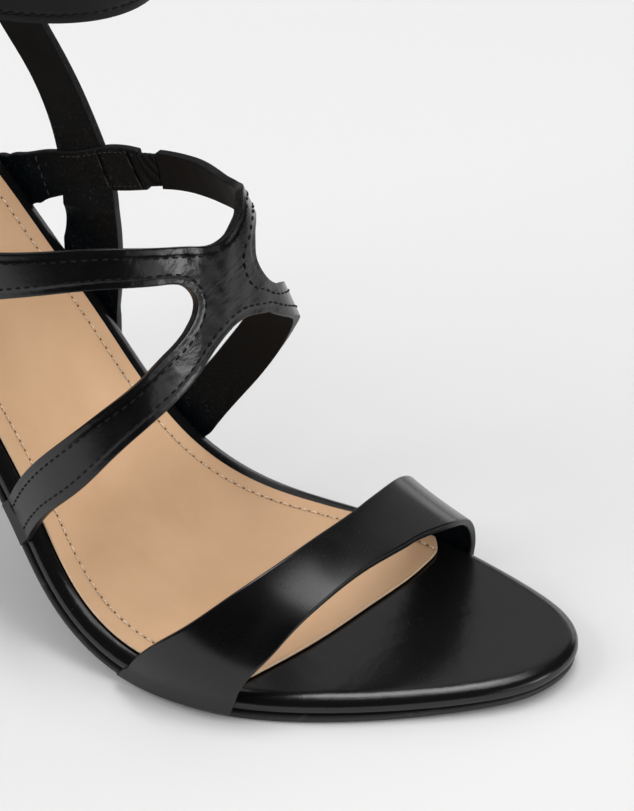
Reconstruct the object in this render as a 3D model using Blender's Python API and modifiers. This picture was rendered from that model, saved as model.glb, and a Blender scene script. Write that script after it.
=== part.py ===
"""Strappy heeled sandal, right shoe, standing empty on its heel tip and forefoot.

Frame: +X to the toe, +Y to the inner (medial) side, +Z up, metres. The origin is the
middle of the heel tip's bottom face, on the floor.

The sole is one line in side view (flat under the ball, a curved shank, a gently sloping
heel seat) with an outline across it. Above it stands a foot form: a row of upright
sections, each a rounded arch from the inner sole edge over the foot to the outer one.
A place on the form is a pair of shares: how far from the toe along the sole, and how far
round the arch (0 at the inner edge, 1 at the outer edge, beyond them down the board's
side). Every strap is a short table of such places, so it follows when a size changes.
"""
import bmesh
import bpy
import numpy as np

# Sizes, in metres
LENGTH = 0.250            # board measured along its own surface
BALL = 0.075              # board width at the ball
RISE = 0.0954             # back of the heel seat above the ball
INSTEP = 0.069            # form height over the middle of the instep
TOE_X = 0.198             # toe tip in front of the heel tip's centre
OUTSOLE = 0.0018          # outsole thickness
BOARD = 0.0040            # wrapped board thickness
SOCK = 0.0008             # sock thickness
SOCK_INSET = 0.0027       # sock edge inside the board edge
SOCK_SHY = 0.0026         # further inside along the inner side
LEATHER = 0.0018          # strap thickness, upper and lining together
GAP = 0.0003              # between curved pieces that meet
TIP_LENGTH = 0.0115       # heel tip fore and aft
TIP_WIDTH = 0.0120
TIP_HEIGHT = 0.0060
HEEL_FRONT = 0.800        # share of the board where the heel's top begins
QUARTER_WIDTH = 0.0122    # upright strap at each side of the ankle
ANKLE_X = 0.058           # middle of the ankle loop
ANKLE_Z = 0.1452          # its lower edge at the middle
ANKLE_LONG = 0.044        # half of its length
ANKLE_WIDE = 0.030        # half of its width
ANKLE_TILT = -9.0         # degrees, front end lower
ANKLE_HEIGHT = 0.0130     # strap height
ANKLE_THICK = 0.0020
SIDE_ANGLE = 121.0        # where the upright straps hold the loop, degrees from the toe
WIRE = 0.0015             # buckle wire
BUCKLE_PLAY = 0.0007      # frame clear of the strap's edges
SLEEVE_PLAY = 0.0004      # loops clear of the ankle strap
SLEEVE_THICK = 0.0016     # loops at the tops of the upright straps
KEEPER_WIDTH = 0.0050
KEEPER_THICK = 0.0011
ELASTIC_THICK = 0.0010

TOP = OUTSOLE + GAP + BOARD
WALL = 0.975 * BOARD      # strap ends reach this far down the board's side
DEPTH = 25 * BOARD        # length of one unit of turn, down the board's side
AROUND = 3.07 * BALL      # mean length of an arch from edge to edge

# share of the length from the toe, share of the steepest slope
SLOPES = np.array([
    [0.000, -0.060],
    [0.180,  0.000],
    [0.256,  0.000],
    [0.448,  1.000],
    [0.660,  1.000],
    [0.860,  0.375],
    [1.000,  0.375],
])

# share of the length, inner edge and outer edge as shares of the ball width
OUTLINE = np.array([
    [0.000,  0.150,  0.150],
    [0.010,  0.260,  0.010],
    [0.036,  0.340, -0.100],
    [0.080,  0.400, -0.225],
    [0.150,  0.457, -0.385],
    [0.225,  0.484, -0.495],
    [0.300,  0.465, -0.513],
    [0.380,  0.391, -0.471],
    [0.460,  0.335, -0.397],
    [0.540,  0.340, -0.343],
    [0.640,  0.346, -0.305],
    [0.760,  0.350, -0.310],
    [0.880,  0.318, -0.305],
    [0.960,  0.205, -0.200],
    [1.000,  0.003,  0.003],
])

# share of the length, height of the arch (share of INSTEP), lean forward in degrees,
# swell of the inner and outer flank, how far the ridge lies to the inner side (shares of BALL)
ARCHES = np.array([
    [0.050, 0.230, 0.0, -0.025, 0.000, 0.067],
    [0.120, 0.272, 0.0, -0.038, 0.013, 0.080],
    [0.200, 0.382, -2.0, -0.029, 0.013, 0.100],
    [0.280, 0.600, 9.0, 0.002, 0.027, 0.127],
    [0.360, 0.840, 18.0, 0.037, 0.040, 0.136],
    [0.440, 1.000, 23.0, 0.052, 0.067, 0.123],
    [0.520, 1.090, 25.0, 0.046, 0.093, 0.092],
    [0.620, 1.150, 28.0, 0.039, 0.093, 0.057],
    [0.740, 1.200, 30.0, 0.040, 0.093, 0.033],
    [0.880, 1.250, 30.0, 0.080, 0.093, 0.025],
    [1.000, 1.250, 30.0, 0.080, 0.093, 0.025],
])

# how far round the arch, front edge and rear edge as shares of the length
TOE_STRAP = np.array([
    [0.00, 0.146, 0.214],
    [0.10, 0.140, 0.203],
    [0.25, 0.131, 0.191],
    [0.40, 0.130, 0.185],
    [0.50, 0.139, 0.186],
    [0.60, 0.151, 0.195],
    [0.70, 0.161, 0.209],
    [0.80, 0.172, 0.231],
    [0.90, 0.186, 0.263],
    [1.00, 0.208, 0.305],
    [1.04, 0.213, 0.315],
])

# the X strap's four sides: share of the length and how far round the arch
SIDE_FRONT = np.array([
    [0.447, 1.035], [0.443, 0.998], [0.438, 0.973], [0.432, 0.950], [0.425, 0.928],
    [0.411, 0.880],
    [0.395, 0.799],
    [0.380, 0.712],
    [0.376, 0.650],
    [0.381, 0.590],
    [0.380, 0.540],
    [0.366, 0.490],
    [0.357, 0.425],
    [0.359, 0.340],
    [0.368, 0.255],
    [0.381, 0.150],
    [0.393, 0.077],
    [0.409, 0.000],
    [0.415, -0.035],
])
SIDE_OUTER = np.array([
    [0.484, 1.035],
    [0.475, 0.970],
    [0.453, 0.883],
    [0.433, 0.806],
    [0.418, 0.736],
    [0.413, 0.689],
    [0.411, 0.645],
    [0.418, 0.618],
    [0.435, 0.621],
    [0.459, 0.666],
    [0.499, 0.746],
    [0.535, 0.809],
    [0.575, 0.873],
    [0.604, 0.917],
])
SIDE_REAR = np.array([
    [0.638, 0.900],
    [0.598, 0.846],
    [0.558, 0.786],
    [0.520, 0.722],
    [0.480, 0.645],
    [0.457, 0.588],
    [0.446, 0.551],
    [0.446, 0.519],
    [0.455, 0.492],
    [0.465, 0.452],
    [0.474, 0.390],
    [0.486, 0.325],
    [0.504, 0.275],
    [0.527, 0.238],
    [0.556, 0.193],
    [0.587, 0.148],
])
SIDE_INNER = np.array([
    [0.460, -0.035],
    [0.456, 0.000],
    [0.446, 0.030],
    [0.438, 0.070],
    [0.430, 0.124],
    [0.419, 0.200],
    [0.400, 0.290],
    [0.387, 0.385],
    [0.388, 0.452],
    [0.399, 0.487],
    [0.412, 0.496],
    [0.425, 0.482],
    [0.436, 0.450],
    [0.449, 0.383],
    [0.466, 0.300],
    [0.491, 0.240],
    [0.533, 0.171],
    [0.563, 0.126],
])
CORNER_FRONT = 0.500      # how far round the arch the four corners of the crossing lie
CORNER_OUTER = 0.622
CORNER_REAR = 0.540
CORNER_INNER = 0.495

# the rear-down strap of the inner side: share, how far round, for its two edges
DOWN_UPPER = np.array([
    [0.606, 0.122],
    [0.638, 0.084],
    [0.657, 0.056],
    [0.674, 0.037],
    [0.690, 0.021],
    [0.703, 0.008],
    [0.713, 0.000],
    [0.725, -0.035],
])
DOWN_LOWER = np.array([
    [0.577, 0.104],
    [0.600, 0.073],
    [0.614, 0.057],
    [0.630, 0.038],
    [0.643, 0.023],
    [0.654, 0.010],
    [0.662, 0.000],
    [0.670, -0.035],
])

# the upright quarter strap: climb share from the sole to the ankle loop, reach share
# towards the heel, half width and how far out, both as shares of QUARTER_WIDTH
QUARTER = np.array([
    [0.00, -0.030, 0.570, 0.000],
    [0.12, 0.005, 0.570, 0.165],
    [0.24, 0.065, 0.550, 0.290],
    [0.34, 0.158, 0.470, 0.300],
    [0.43, 0.262, 0.430, 0.235],
    [0.50, 0.356, 0.420, 0.135],
    [0.57, 0.466, 0.420, 0.028],
    [0.68, 0.645, 0.450, -0.062],
    [0.83, 0.870, 0.490, -0.190],
    [1.00, 1.000, 0.500, 0.000],
])

# ankle strap: angle in degrees, stand-off as a share of its thickness; the free end comes
# from the front, climbs over the buckle's bar and lies on the fixed end
STAND_OFF = np.array([
    [-190.0, 1.175],
    [-154.0, 1.175],
    [-149.0, 0.800],
    [-145.0, 0.300],
    [-141.0, 0.000],
    [200.0, 0.000],
])


# Scene and helpers
for old in list(bpy.data.objects):
    bpy.data.objects.remove(old, do_unlink=True)

SHOE = bpy.data.collections.new("strappy_heeled_sandal")
bpy.context.scene.collection.children.link(SHOE)
TOOLS = bpy.data.collections.new("cutters")
bpy.context.scene.collection.children.link(TOOLS)


def material(name, color, roughness, metallic=0.0):
    mat = bpy.data.materials.new(name)
    mat.use_nodes = True
    shader = mat.node_tree.nodes["Principled BSDF"]
    shader.inputs["Base Color"].default_value = (*color, 1.0)
    shader.inputs["Roughness"].default_value = roughness
    shader.inputs["Metallic"].default_value = metallic
    mat.diffuse_color = (*color, 1.0)
    return mat


def add_mesh(name, points, faces, mat, where=None):
    mesh = bpy.data.meshes.new(name)
    mesh.from_pydata([tuple(p) for p in np.asarray(points, float)], [], faces)
    mesh.validate()
    obj = bpy.data.objects.new(name, mesh)
    (where or SHOE).objects.link(obj)
    if mat is not None:
        mesh.materials.append(mat)
    return obj


def spline(xs, ys, x):
    """Natural cubic curve through the rows of a table."""
    xs = np.asarray(xs, float)
    ys = np.asarray(ys, float)
    n = len(xs)
    h = np.diff(xs)
    lhs = np.eye(n)
    rhs = np.zeros(n)
    for i in range(1, n - 1):
        lhs[i, i - 1:i + 2] = h[i - 1], 2 * (h[i - 1] + h[i]), h[i]
        rhs[i] = 6 * ((ys[i + 1] - ys[i]) / h[i] - (ys[i] - ys[i - 1]) / h[i - 1])
    bend = np.linalg.solve(lhs, rhs)
    x = np.asarray(x, float)
    i = np.clip(np.searchsorted(xs, x) - 1, 0, n - 2)
    t = (x - xs[i]) / h[i]
    a = 1 - t
    cubic = (a ** 3 - a) * bend[i] + (t ** 3 - t) * bend[i + 1]
    return a * ys[i] + t * ys[i + 1] + h[i] ** 2 / 6 * cubic


def smooth(t):
    t = np.clip(t, 0.0, 1.0)
    return t * t * (3 - 2 * t)


# The sole line and outline
def build_profile():
    """Side view of the board's top: distance from the toe, x, z and slope."""
    dist = np.linspace(-0.04, 1.04, 1081) * LENGTH
    share = dist / LENGTH
    row = np.clip(np.searchsorted(SLOPES[:, 0], share) - 1, 0, len(SLOPES) - 2)
    step = SLOPES[row + 1, 0] - SLOPES[row, 0]
    part = smooth((share - SLOPES[row, 0]) / step)
    slope = SLOPES[row, 1] + (SLOPES[row + 1, 1] - SLOPES[row, 1]) * part
    low, high = 0.05, 1.3
    for _ in range(40):
        steepest = (low + high) / 2
        angle = slope * steepest
        rise = (np.sin(angle)[1:] + np.sin(angle)[:-1]) / 2 * np.diff(dist)
        z = np.concatenate([[0.0], np.cumsum(rise)])
        z -= np.interp(0.22 * LENGTH, dist, z)
        if np.interp(LENGTH, dist, z) < RISE:
            low = steepest
        else:
            high = steepest
    run = (np.cos(angle)[1:] + np.cos(angle)[:-1]) / 2 * np.diff(dist)
    x = -np.concatenate([[0.0], np.cumsum(run)])
    x -= np.interp(0.0, dist, x)
    return share, x + TOE_X, z + TOP, angle


PROFILE = build_profile()


def sole(share):
    """x, z and slope of the board's top at a share of the length."""
    return tuple(np.interp(share, PROFILE[0], PROFILE[k]) for k in (1, 2, 3))


ROUND = np.arccos(1 - 2 * OUTLINE[:, 0])


def edges(share):
    """Inner and outer edge of the board, metres from the middle line."""
    angle = np.arccos(np.clip(1 - 2 * np.asarray(share, float), -1, 1))
    inner = BALL * spline(ROUND, OUTLINE[:, 1], angle)
    outer = BALL * spline(ROUND, OUTLINE[:, 2], angle)
    return inner, outer


def on_sole(share, y, up):
    """A point over the board's top, measured square to it."""
    x, z, slope = sole(share)
    x = x + np.sin(slope) * up
    z = z + np.cos(slope) * up
    return np.stack([x, y + 0 * x, z + 0 * x], -1)


def outline_loop(count, inset, first=0.0, last=1.0, tuck=0.0, shy=0.0):
    """The outline moved inward, by tuck more at the toe and by shy more along the inner
    side: share, inner y and outer y."""
    share = first + (last - first) * (1 - np.cos(np.linspace(0, np.pi, count))) / 2
    fine = (1 - np.cos(np.linspace(0, np.pi, 721))) / 2
    inset = inset + tuck * (1 - smooth(fine / 0.16))
    shy = shy * smooth((fine - 0.18) / 0.10) * (1 - smooth((fine - 0.84) / 0.12))
    sides = []
    for k, sign, far in ((0, 1.0, inset + shy), (1, -1.0, inset)):
        y = edges(fine)[k]
        dx = np.gradient(fine * LENGTH)
        dy = np.gradient(y)
        size = np.hypot(dx, dy)
        px = fine * LENGTH + sign * dy / size * far
        py = y - sign * dx / size * far
        keep = np.concatenate([[True], np.diff(np.maximum.accumulate(px)) > 1e-9])
        sides.append((px[keep] / LENGTH, py[keep]))
    low = max(sides[0][0][0], sides[1][0][0], first)
    high = min(sides[0][0][-1], sides[1][0][-1], last)
    share = low + (high - low) * (1 - np.cos(np.linspace(0, np.pi, count))) / 2
    inner = np.interp(share, *sides[0])
    outer = np.interp(share, *sides[1])
    return share, inner, outer


def plate(name, layers, mat, first=0.0, last=1.0, count=44, across=4, tuck=0.0):
    """A plate on the sole: layers are (inset, height over the board's top), from below up."""
    points = []
    rings = []
    for inset, up in layers:
        share, inner, outer = outline_loop(count, inset, first, last, tuck)
        if first <= 0.0:
            middle = (inner[0] + outer[0]) / 2
            inner[0] = outer[0] = middle
        if last >= 1.0:
            middle = (inner[-1] + outer[-1]) / 2
            inner[-1] = outer[-1] = middle
        grid = []
        for k in range(count):
            row = []
            single = abs(inner[k] - outer[k]) < 1e-9
            for j in range(across + 1):
                if single and j > 0:
                    row.append(row[0])
                    continue
                y = outer[k] + (inner[k] - outer[k]) * j / across
                row.append(len(points))
                points.append(on_sole(share[k], y, up))
            grid.append(row)
        rings.append(grid)
    faces = []
    low = rings[0]
    high = rings[-1]
    for k in range(count - 1):
        for j in range(across):
            a, b, c, d = low[k][j], low[k][j + 1], low[k + 1][j + 1], low[k + 1][j]
            faces.append([a, b, c, d])
            a, b, c, d = high[k][j], high[k][j + 1], high[k + 1][j + 1], high[k + 1][j]
            faces.append([d, c, b, a])
    for lower, upper in zip(rings[:-1], rings[1:]):
        rim_low = [r[0] for r in lower] + lower[-1][1:] + [r[-1] for r in lower[::-1]][1:]
        rim_low += lower[0][::-1][1:-1]
        rim_up = [r[0] for r in upper] + upper[-1][1:] + [r[-1] for r in upper[::-1]][1:]
        rim_up += upper[0][::-1][1:-1]
        n = len(rim_low)
        for k in range(n):
            m = (k + 1) % n
            faces.append([rim_low[k], rim_low[m], rim_up[m], rim_up[k]])
    clean = []
    for face in faces:
        corners = []
        for v in face:
            if v not in corners:
                corners.append(v)
        if len(corners) > 2:
            clean.append(corners)
    return close_up(add_mesh(name, points, clean, mat))


def close_up(obj):
    """Merge equal points and turn the faces outward."""
    bm = bmesh.new()
    bm.from_mesh(obj.data)
    bmesh.ops.remove_doubles(bm, verts=bm.verts, dist=2e-6)
    used = [v for v in bm.verts if not v.link_faces]
    bmesh.ops.delete(bm, geom=used, context="VERTS")
    bmesh.ops.recalc_face_normals(bm, faces=bm.faces)
    if bm.calc_volume(signed=True) < 0:
        bmesh.ops.reverse_faces(bm, faces=bm.faces)
    bm.to_mesh(obj.data)
    bm.free()
    return obj


# The foot form
def arch(share, turn):
    """A point of the foot form, as (..., 3)."""
    share = np.asarray(share, float)
    turn = np.asarray(turn, float)
    row = ARCHES[:, 0]
    height = INSTEP * spline(row, ARCHES[:, 1], share)
    lean = np.radians(spline(row, ARCHES[:, 2], share))
    swell_in = BALL * spline(row, ARCHES[:, 3], share)
    swell_out = BALL * spline(row, ARCHES[:, 4], share)
    ridge = BALL * spline(row, ARCHES[:, 5], share)
    depth = DEPTH * (np.clip(-turn, 0, None) + np.clip(turn - 1, 0, None))
    x0, z0, slope = sole(share)
    low = share - depth * np.tan(slope - lean) / LENGTH
    inner, outer = edges(low)
    angle = np.clip(turn, 0, 1) * np.pi
    up = np.clip(np.sin(angle), 0, None) ** (1 / 1.2)
    side = np.abs(np.cos(angle)) ** (1 / 1.2)
    medial = np.cos(angle) >= 0
    rim = np.where(medial, inner + GAP, outer - GAP)
    swell = np.where(medial, swell_in, -swell_out)
    upright = np.where(medial, smooth((0.34 - share) / 0.10), 0.0)
    bulge = (4 * up * (1 - upright) + 6.75 * up ** 2 * upright) * (1 - up)
    y = ridge + (rim - ridge) * side + swell * bulge
    x1, z1, slope1 = sole(low)
    below = depth > 0
    x = np.where(below, x1 - np.sin(slope1) * depth, x0 + np.sin(lean) * height * up)
    z = np.where(below, z1 - np.cos(slope1) * depth, z0 + np.cos(lean) * height * up)
    return np.stack([x, y, z], -1)


def form(share, turn, off=0.0):
    """The inner face of a strap; the arches are measured over the leather."""
    e = 0.002
    here = arch(share, turn)
    full = np.sin(np.clip(turn, 0, 1) * np.pi) ** 0.8
    off = np.asarray(off) - 0.9 * LEATHER * full
    along = arch(share + e, turn) - arch(share - e, turn)
    across = arch(share, turn + 2 * e) - arch(share, turn - 2 * e)
    normal = np.cross(along, across)
    normal /= np.linalg.norm(normal, axis=-1, keepdims=True)
    return here + normal * off[..., None]


def sheet(name, grid, mat, thick=LEATHER, loops=(False, False), thin_rows=()):
    """A leather sheet from a grid of points, thickened outward."""
    rows, cols = grid.shape[:2]
    index = np.arange(rows * cols).reshape(rows, cols)
    faces = []
    for i in range(rows - (0 if loops[0] else 1)):
        for j in range(cols - (0 if loops[1] else 1)):
            m = (i + 1) % rows
            n = (j + 1) % cols
            faces.append([index[i, j], index[m, j], index[m, n], index[i, n]])
    obj = add_mesh(name, grid.reshape(-1, 3), [list(map(int, f)) for f in faces], mat)
    thicken(obj, thick, [int(v) for r in thin_rows for v in index[r]], ring=loops[0])
    return obj


def thicken(obj, thick, thin=(), ring=False):
    """Solidify away from the foot, or away from a ring's own middle."""
    centre = np.mean([v.co[:] for v in obj.data.vertices], axis=0)
    if not ring:
        centre = np.array([centre[0], 0.0, centre[2] - 0.3 * INSTEP])
    inward = 0.0
    for face in obj.data.polygons:
        inward += np.dot(np.array(face.normal) * face.area, np.array(face.center) - centre)
    if inward < 0:
        obj.data.flip_normals()
    mod = obj.modifiers.new("thickness", "SOLIDIFY")
    mod.thickness = thick
    mod.offset = 1.0
    mod.use_even_offset = True
    if len(thin):
        full = obj.vertex_groups.new(name="full thickness")
        thin = set(thin)
        full.add([v.index for v in obj.data.vertices if v.index not in thin], 1.0, "REPLACE")
        full.add(list(thin), 0.66, "REPLACE")
        mod.vertex_group = full.name
        mod.thickness_vertex_group = 0.0


def apply(obj):
    """Bake the modifiers into the mesh."""
    graph = bpy.context.evaluated_depsgraph_get()
    baked = bpy.data.meshes.new_from_object(obj.evaluated_get(graph))
    obj.modifiers.clear()
    obj.data = baked


def join_solids(keep, others):
    """Union of closed solids, the first one is kept."""
    for other in others:
        mod = keep.modifiers.new("joined", "BOOLEAN")
        mod.operation = "UNION"
        mod.solver = "EXACT"
        mod.object = other
    bpy.context.view_layer.update()
    apply(keep)
    for other in others:
        bpy.data.objects.remove(other, do_unlink=True)
    return close_up(keep)


BLACK = material("black_leather", (0.012, 0.012, 0.013), 0.32)
BLACK_BOARD = material("black_board_wrap", (0.014, 0.014, 0.015), 0.22)
BLACK_SOLE = material("black_outsole", (0.020, 0.020, 0.021), 0.55)
BLACK_HEEL = material("black_heel_cover", (0.013, 0.013, 0.014), 0.24)
BLACK_TIP = material("black_heel_tip", (0.018, 0.018, 0.018), 0.60)
TAN = material("tan_sock_leather", (0.58, 0.36, 0.20), 0.50)
ELASTIC = material("black_elastic", (0.016, 0.016, 0.017), 0.80)
METAL = material("polished_buckle_metal", (0.72, 0.70, 0.66), 0.20, 1.0)

# Outsole, board and sock
plate("outsole", [
    (0.33 * OUTSOLE, -TOP),
    (0.06 * OUTSOLE, -TOP + 0.22 * OUTSOLE),
    (-0.06 * OUTSOLE, -BOARD - GAP),
], BLACK_SOLE, last=HEEL_FRONT - 0.004, tuck=0.4 * OUTSOLE)

plate("insole_board", [
    (0.18 * BOARD, -BOARD),
    (0.0, -0.82 * BOARD),
    (0.0, -0.62 * BOARD),
    (0.18 * BOARD, -0.26 * BOARD),
    (0.50 * BOARD, -0.07 * BOARD),
    (0.90 * BOARD, 0.0),
], BLACK_BOARD)


def sock_front(w):
    """Where the sock begins at each place across, from the outer to the inner edge."""
    place = [0.00, 0.15, 0.33, 0.55, 0.75, 0.88, 0.95, 1.00]
    share = [0.216, 0.201, 0.187, 0.176, 0.167, 0.165, 0.168, 0.178]
    return spline(place, share, w)


def add_sock():
    layers = [(0.0, GAP), (0.0, GAP + SOCK * 0.6), (SOCK * 0.45, GAP + SOCK)]
    rows, cols = 40, 10
    across = (1 - np.cos(np.linspace(0, np.pi, cols))) / 2
    points = []
    for inset, up in layers:
        share, inner, outer = outline_loop(241, SOCK_INSET + inset, shy=SOCK_SHY)
        for i in range(rows):
            t = i / (rows - 1)
            for j in range(cols):
                start = sock_front(across[j]) + inset / LENGTH
                s = start + (share[-1] - start) * np.sin(t * np.pi / 2) ** 1.1
                a = np.interp(s, share, inner)
                b = np.interp(s, share, outer)
                points.append(on_sole(s, b + (a - b) * across[j], up))
    index = np.arange(len(points)).reshape(len(layers), rows, cols)
    faces = []
    for i in range(rows - 1):
        for j in range(cols - 1):
            for level, turn in ((0, 1), (-1, -1)):
                q = index[level]
                faces.append([q[i, j], q[i, j + 1], q[i + 1, j + 1], q[i + 1, j]][::turn])
    for low, up in zip(index[:-1], index[1:]):
        rim = [np.concatenate([q[:, 0], q[-1, 1:], q[::-1, -1][1:], q[0, ::-1][1:-1]])
               for q in (low, up)]
        n = len(rim[0])
        for k in range(n):
            m = (k + 1) % n
            faces.append([rim[0][k], rim[0][m], rim[1][m], rim[1][k]])
    faces = [[int(v) for v in f] for f in faces]
    return close_up(add_mesh("sock", points, faces, TAN))


add_sock()


# Heel and heel tip
def tip_ring(count_back, count_front, scale=1.0):
    """Outline of the heel tip: a half round at the back and a straight front."""
    ring = []
    half = TIP_WIDTH / 2 * scale
    front = TIP_LENGTH * 0.45 * scale
    for k in range(count_back):
        a = np.pi * k / (count_back - 1)
        ring.append((front - (TIP_LENGTH * scale) * np.sin(a) ** 0.9, -half * np.cos(a)))
    for k in range(1, count_front):
        ring.append((front, half - 2 * half * k / count_front))
    return np.array(ring)


def seat_ring(count_back, count_front):
    """Outline of the heel's top under the board, inset from its edge."""
    share, inner, outer = outline_loop(241, 0.25 * BOARD)
    first = HEEL_FRONT
    ring = []
    for k in range(count_back):
        a = np.pi * k / (count_back - 1)
        s = first + (share[-1] - first) * np.sin(a)
        side = outer if a < np.pi / 2 else inner
        ring.append((s, np.interp(s, share, side)))
    right = np.interp(first, share, inner)
    left = np.interp(first, share, outer)
    for k in range(1, count_front):
        ring.append((first, right + (left - right) * k / count_front))
    return np.array(ring)


def add_heel():
    back, front, levels = 25, 8, 22
    tip = tip_ring(back, front)
    seat = seat_ring(back, front)
    top = np.array([on_sole(s, y, -BOARD - GAP) for s, y in seat])
    ahead = np.clip((tip[:, 0] + TIP_LENGTH * 0.55) / TIP_LENGTH, 0, 1)
    power = 1.3 + 2.9 * ahead
    points = []
    for k in range(levels):
        t = 1 - (1 - k / (levels - 1)) ** 1.4
        base = TIP_HEIGHT + GAP
        z = base + (top[:, 2] - base) * t
        grow = np.clip(t, 0, 1) ** power
        x = tip[:, 0] + (top[:, 0] - tip[:, 0]) * grow
        y = tip[:, 1] + (top[:, 1] - tip[:, 1]) * t ** 2.5
        points.append(np.stack([x, y, z], -1))
    return loft("heel", points, BLACK_HEEL)


def loft(name, rings, mat):
    """Rings of equal length joined up, with a fan of faces over each end."""
    n = len(rings[0])
    count = len(rings)
    middle = [np.mean(rings[0], axis=0), np.mean(rings[-1], axis=0)]
    points = np.concatenate([np.concatenate(rings), middle])
    faces = []
    for k in range(count - 1):
        for j in range(n):
            m = (j + 1) % n
            faces.append([k * n + j, k * n + m, (k + 1) * n + m, (k + 1) * n + j])
    for j in range(n):
        m = (j + 1) % n
        faces.append([m, j, count * n])
        faces.append([(count - 1) * n + j, (count - 1) * n + m, count * n + 1])
    return close_up(add_mesh(name, points, faces, mat))


add_heel()
TIP = [(0.90, 0.0), (1.0, 0.13 * TIP_HEIGHT), (1.0, TIP_HEIGHT)]
loft("heel_tip", [
    np.column_stack([tip_ring(25, 8, s), np.full(32, z)]) for s, z in TIP
], BLACK_TIP)


# Straps on the form
def add_toe_strap():
    turns = np.concatenate([[-WALL / DEPTH, -0.0001], np.linspace(0.0, 1.0, 37)[1:-1],
                            [1.0001, 1 + WALL / DEPTH]])
    cols = 6
    grid = []
    for turn in turns:
        front = spline(TOE_STRAP[:, 0], TOE_STRAP[:, 1], turn)
        rear = spline(TOE_STRAP[:, 0], TOE_STRAP[:, 2], turn)
        share = front + (rear - front) * np.linspace(0, 1, cols)
        grid.append(form(share, np.full(cols, turn)))
    return sheet("toe_strap", np.array(grid), BLACK, thin_rows=(0, 1, -2, -1))


add_toe_strap()


def side_curve(table, start, end, count):
    """Points of a side curve between two of its own distances (0 to 1)."""
    step = np.hypot(np.diff(table[:, 0]) * 2.2, np.diff(table[:, 1]))
    at = np.concatenate([[0], np.cumsum(step)])
    at /= at[-1]
    t = start + (end - start) * np.linspace(0, 1, count)
    return np.column_stack([spline(at, table[:, 0], t), spline(at, table[:, 1], t)])


def corner_of(table, turn):
    """Distance along a side curve where the crossing's corner lies."""
    step = np.hypot(np.diff(table[:, 0]) * 2.2, np.diff(table[:, 1]))
    at = np.concatenate([[0], np.cumsum(step)])
    at /= at[-1]
    t = np.linspace(0.2, 0.8, 1201)
    away = np.abs(spline(at, table[:, 1], t) - turn)
    return t[np.argmin(away)]


def leg(table_a, from_a, to_a, table_b, from_b, to_b, rows, cols):
    """A strap between two side curves, as places on the form."""
    a = side_curve(table_a, from_a, to_a, rows)
    b = side_curve(table_b, from_b, to_b, rows)
    w = np.linspace(0, 1, cols)[None, :, None]
    return a[:, None, :] * (1 - w) + b[:, None, :] * w


def add_instep_strap():
    cf = corner_of(SIDE_FRONT, CORNER_FRONT)
    co = corner_of(SIDE_OUTER, CORNER_OUTER)
    cr = corner_of(SIDE_REAR, CORNER_REAR)
    ci = corner_of(SIDE_INNER, CORNER_INNER)
    cols = 5
    legs = [
        leg(SIDE_FRONT, cf, 0, SIDE_OUTER, co, 0, 20, cols),
        leg(SIDE_OUTER, co, 1, SIDE_REAR, cr, 0, 20, cols),
        leg(SIDE_REAR, cr, 1, SIDE_INNER, ci, 1, 16, cols),
        leg(SIDE_INNER, ci, 0, SIDE_FRONT, cf, 1, 18, cols),
    ]
    mouths = [q[0] for q in legs]
    n = cols
    u = np.linspace(0, 1, n)
    front, outer, rear, inner = mouths[0], mouths[1], mouths[2], mouths[3]
    hub = np.zeros((n, n, 2))
    bottom = front            # corner F to corner O
    right = outer             # corner O to corner R
    top = rear[::-1]          # corner I to corner R
    left = inner[::-1]        # corner F to corner I
    for i in range(n):
        for j in range(n):
            a, b = u[j], u[i]
            side = (1 - b) * bottom[j] + b * top[j] + (1 - a) * left[i] + a * right[i]
            ends = (1 - a) * (1 - b) * bottom[0] + a * (1 - b) * bottom[-1]
            ends = ends + (1 - a) * b * top[0] + a * b * top[-1]
            hub[i, j] = side - ends
    points = []
    faces = []
    for patch in legs + [hub]:
        rows = patch.shape[0]
        base = len(points)
        flat = patch.reshape(-1, 2)
        points.extend(form(flat[:, 0], flat[:, 1]))
        for i in range(rows - 1):
            for j in range(n - 1):
                k = base + i * n + j
                faces.append([k, k + n, k + n + 1, k + 1])
    obj = add_mesh("instep_strap", points, faces, BLACK)
    close_up(obj)
    thicken(obj, LEATHER)
    return obj


add_instep_strap()


def down_strap(name, mirror, first, off, thick):
    """The strap from the side crossing down and back to the sole."""
    rows = 15
    upper = side_curve(DOWN_UPPER, first, 1, rows)
    lower = side_curve(DOWN_LOWER, first, 1, rows)
    w = np.linspace(0, 1, 4)[None, :, None]
    place = upper[:, None, :] * (1 - w) + lower[:, None, :] * w
    share = place[..., 0]
    turn = 1 - place[..., 1] if mirror else place[..., 1]
    return sheet(name, form(share, turn, np.full(share.shape, off)), BLACK, thick)


# Ankle loop
def loop_point(angle, out, up):
    """A point of the ankle loop: degrees from the toe, outward, above the lower edge."""
    a = np.radians(angle)
    nx = np.cos(a) / ANKLE_LONG
    ny = np.sin(a) / ANKLE_WIDE
    size = np.hypot(nx, ny)
    x = ANKLE_X + ANKLE_LONG * np.cos(a) + nx / size * out
    y = ANKLE_WIDE * np.sin(a) + ny / size * out
    z = ANKLE_Z + np.tan(np.radians(ANKLE_TILT)) * (x - ANKLE_X) + up
    return np.stack([x + 0 * up, y + 0 * up, z], -1)


def angle_step(angle, distance):
    """Degrees that match a distance round the loop at an angle."""
    a = np.radians(angle)
    return np.degrees(distance / np.hypot(ANKLE_LONG * np.sin(a), ANKLE_WIDE * np.cos(a)))


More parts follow.
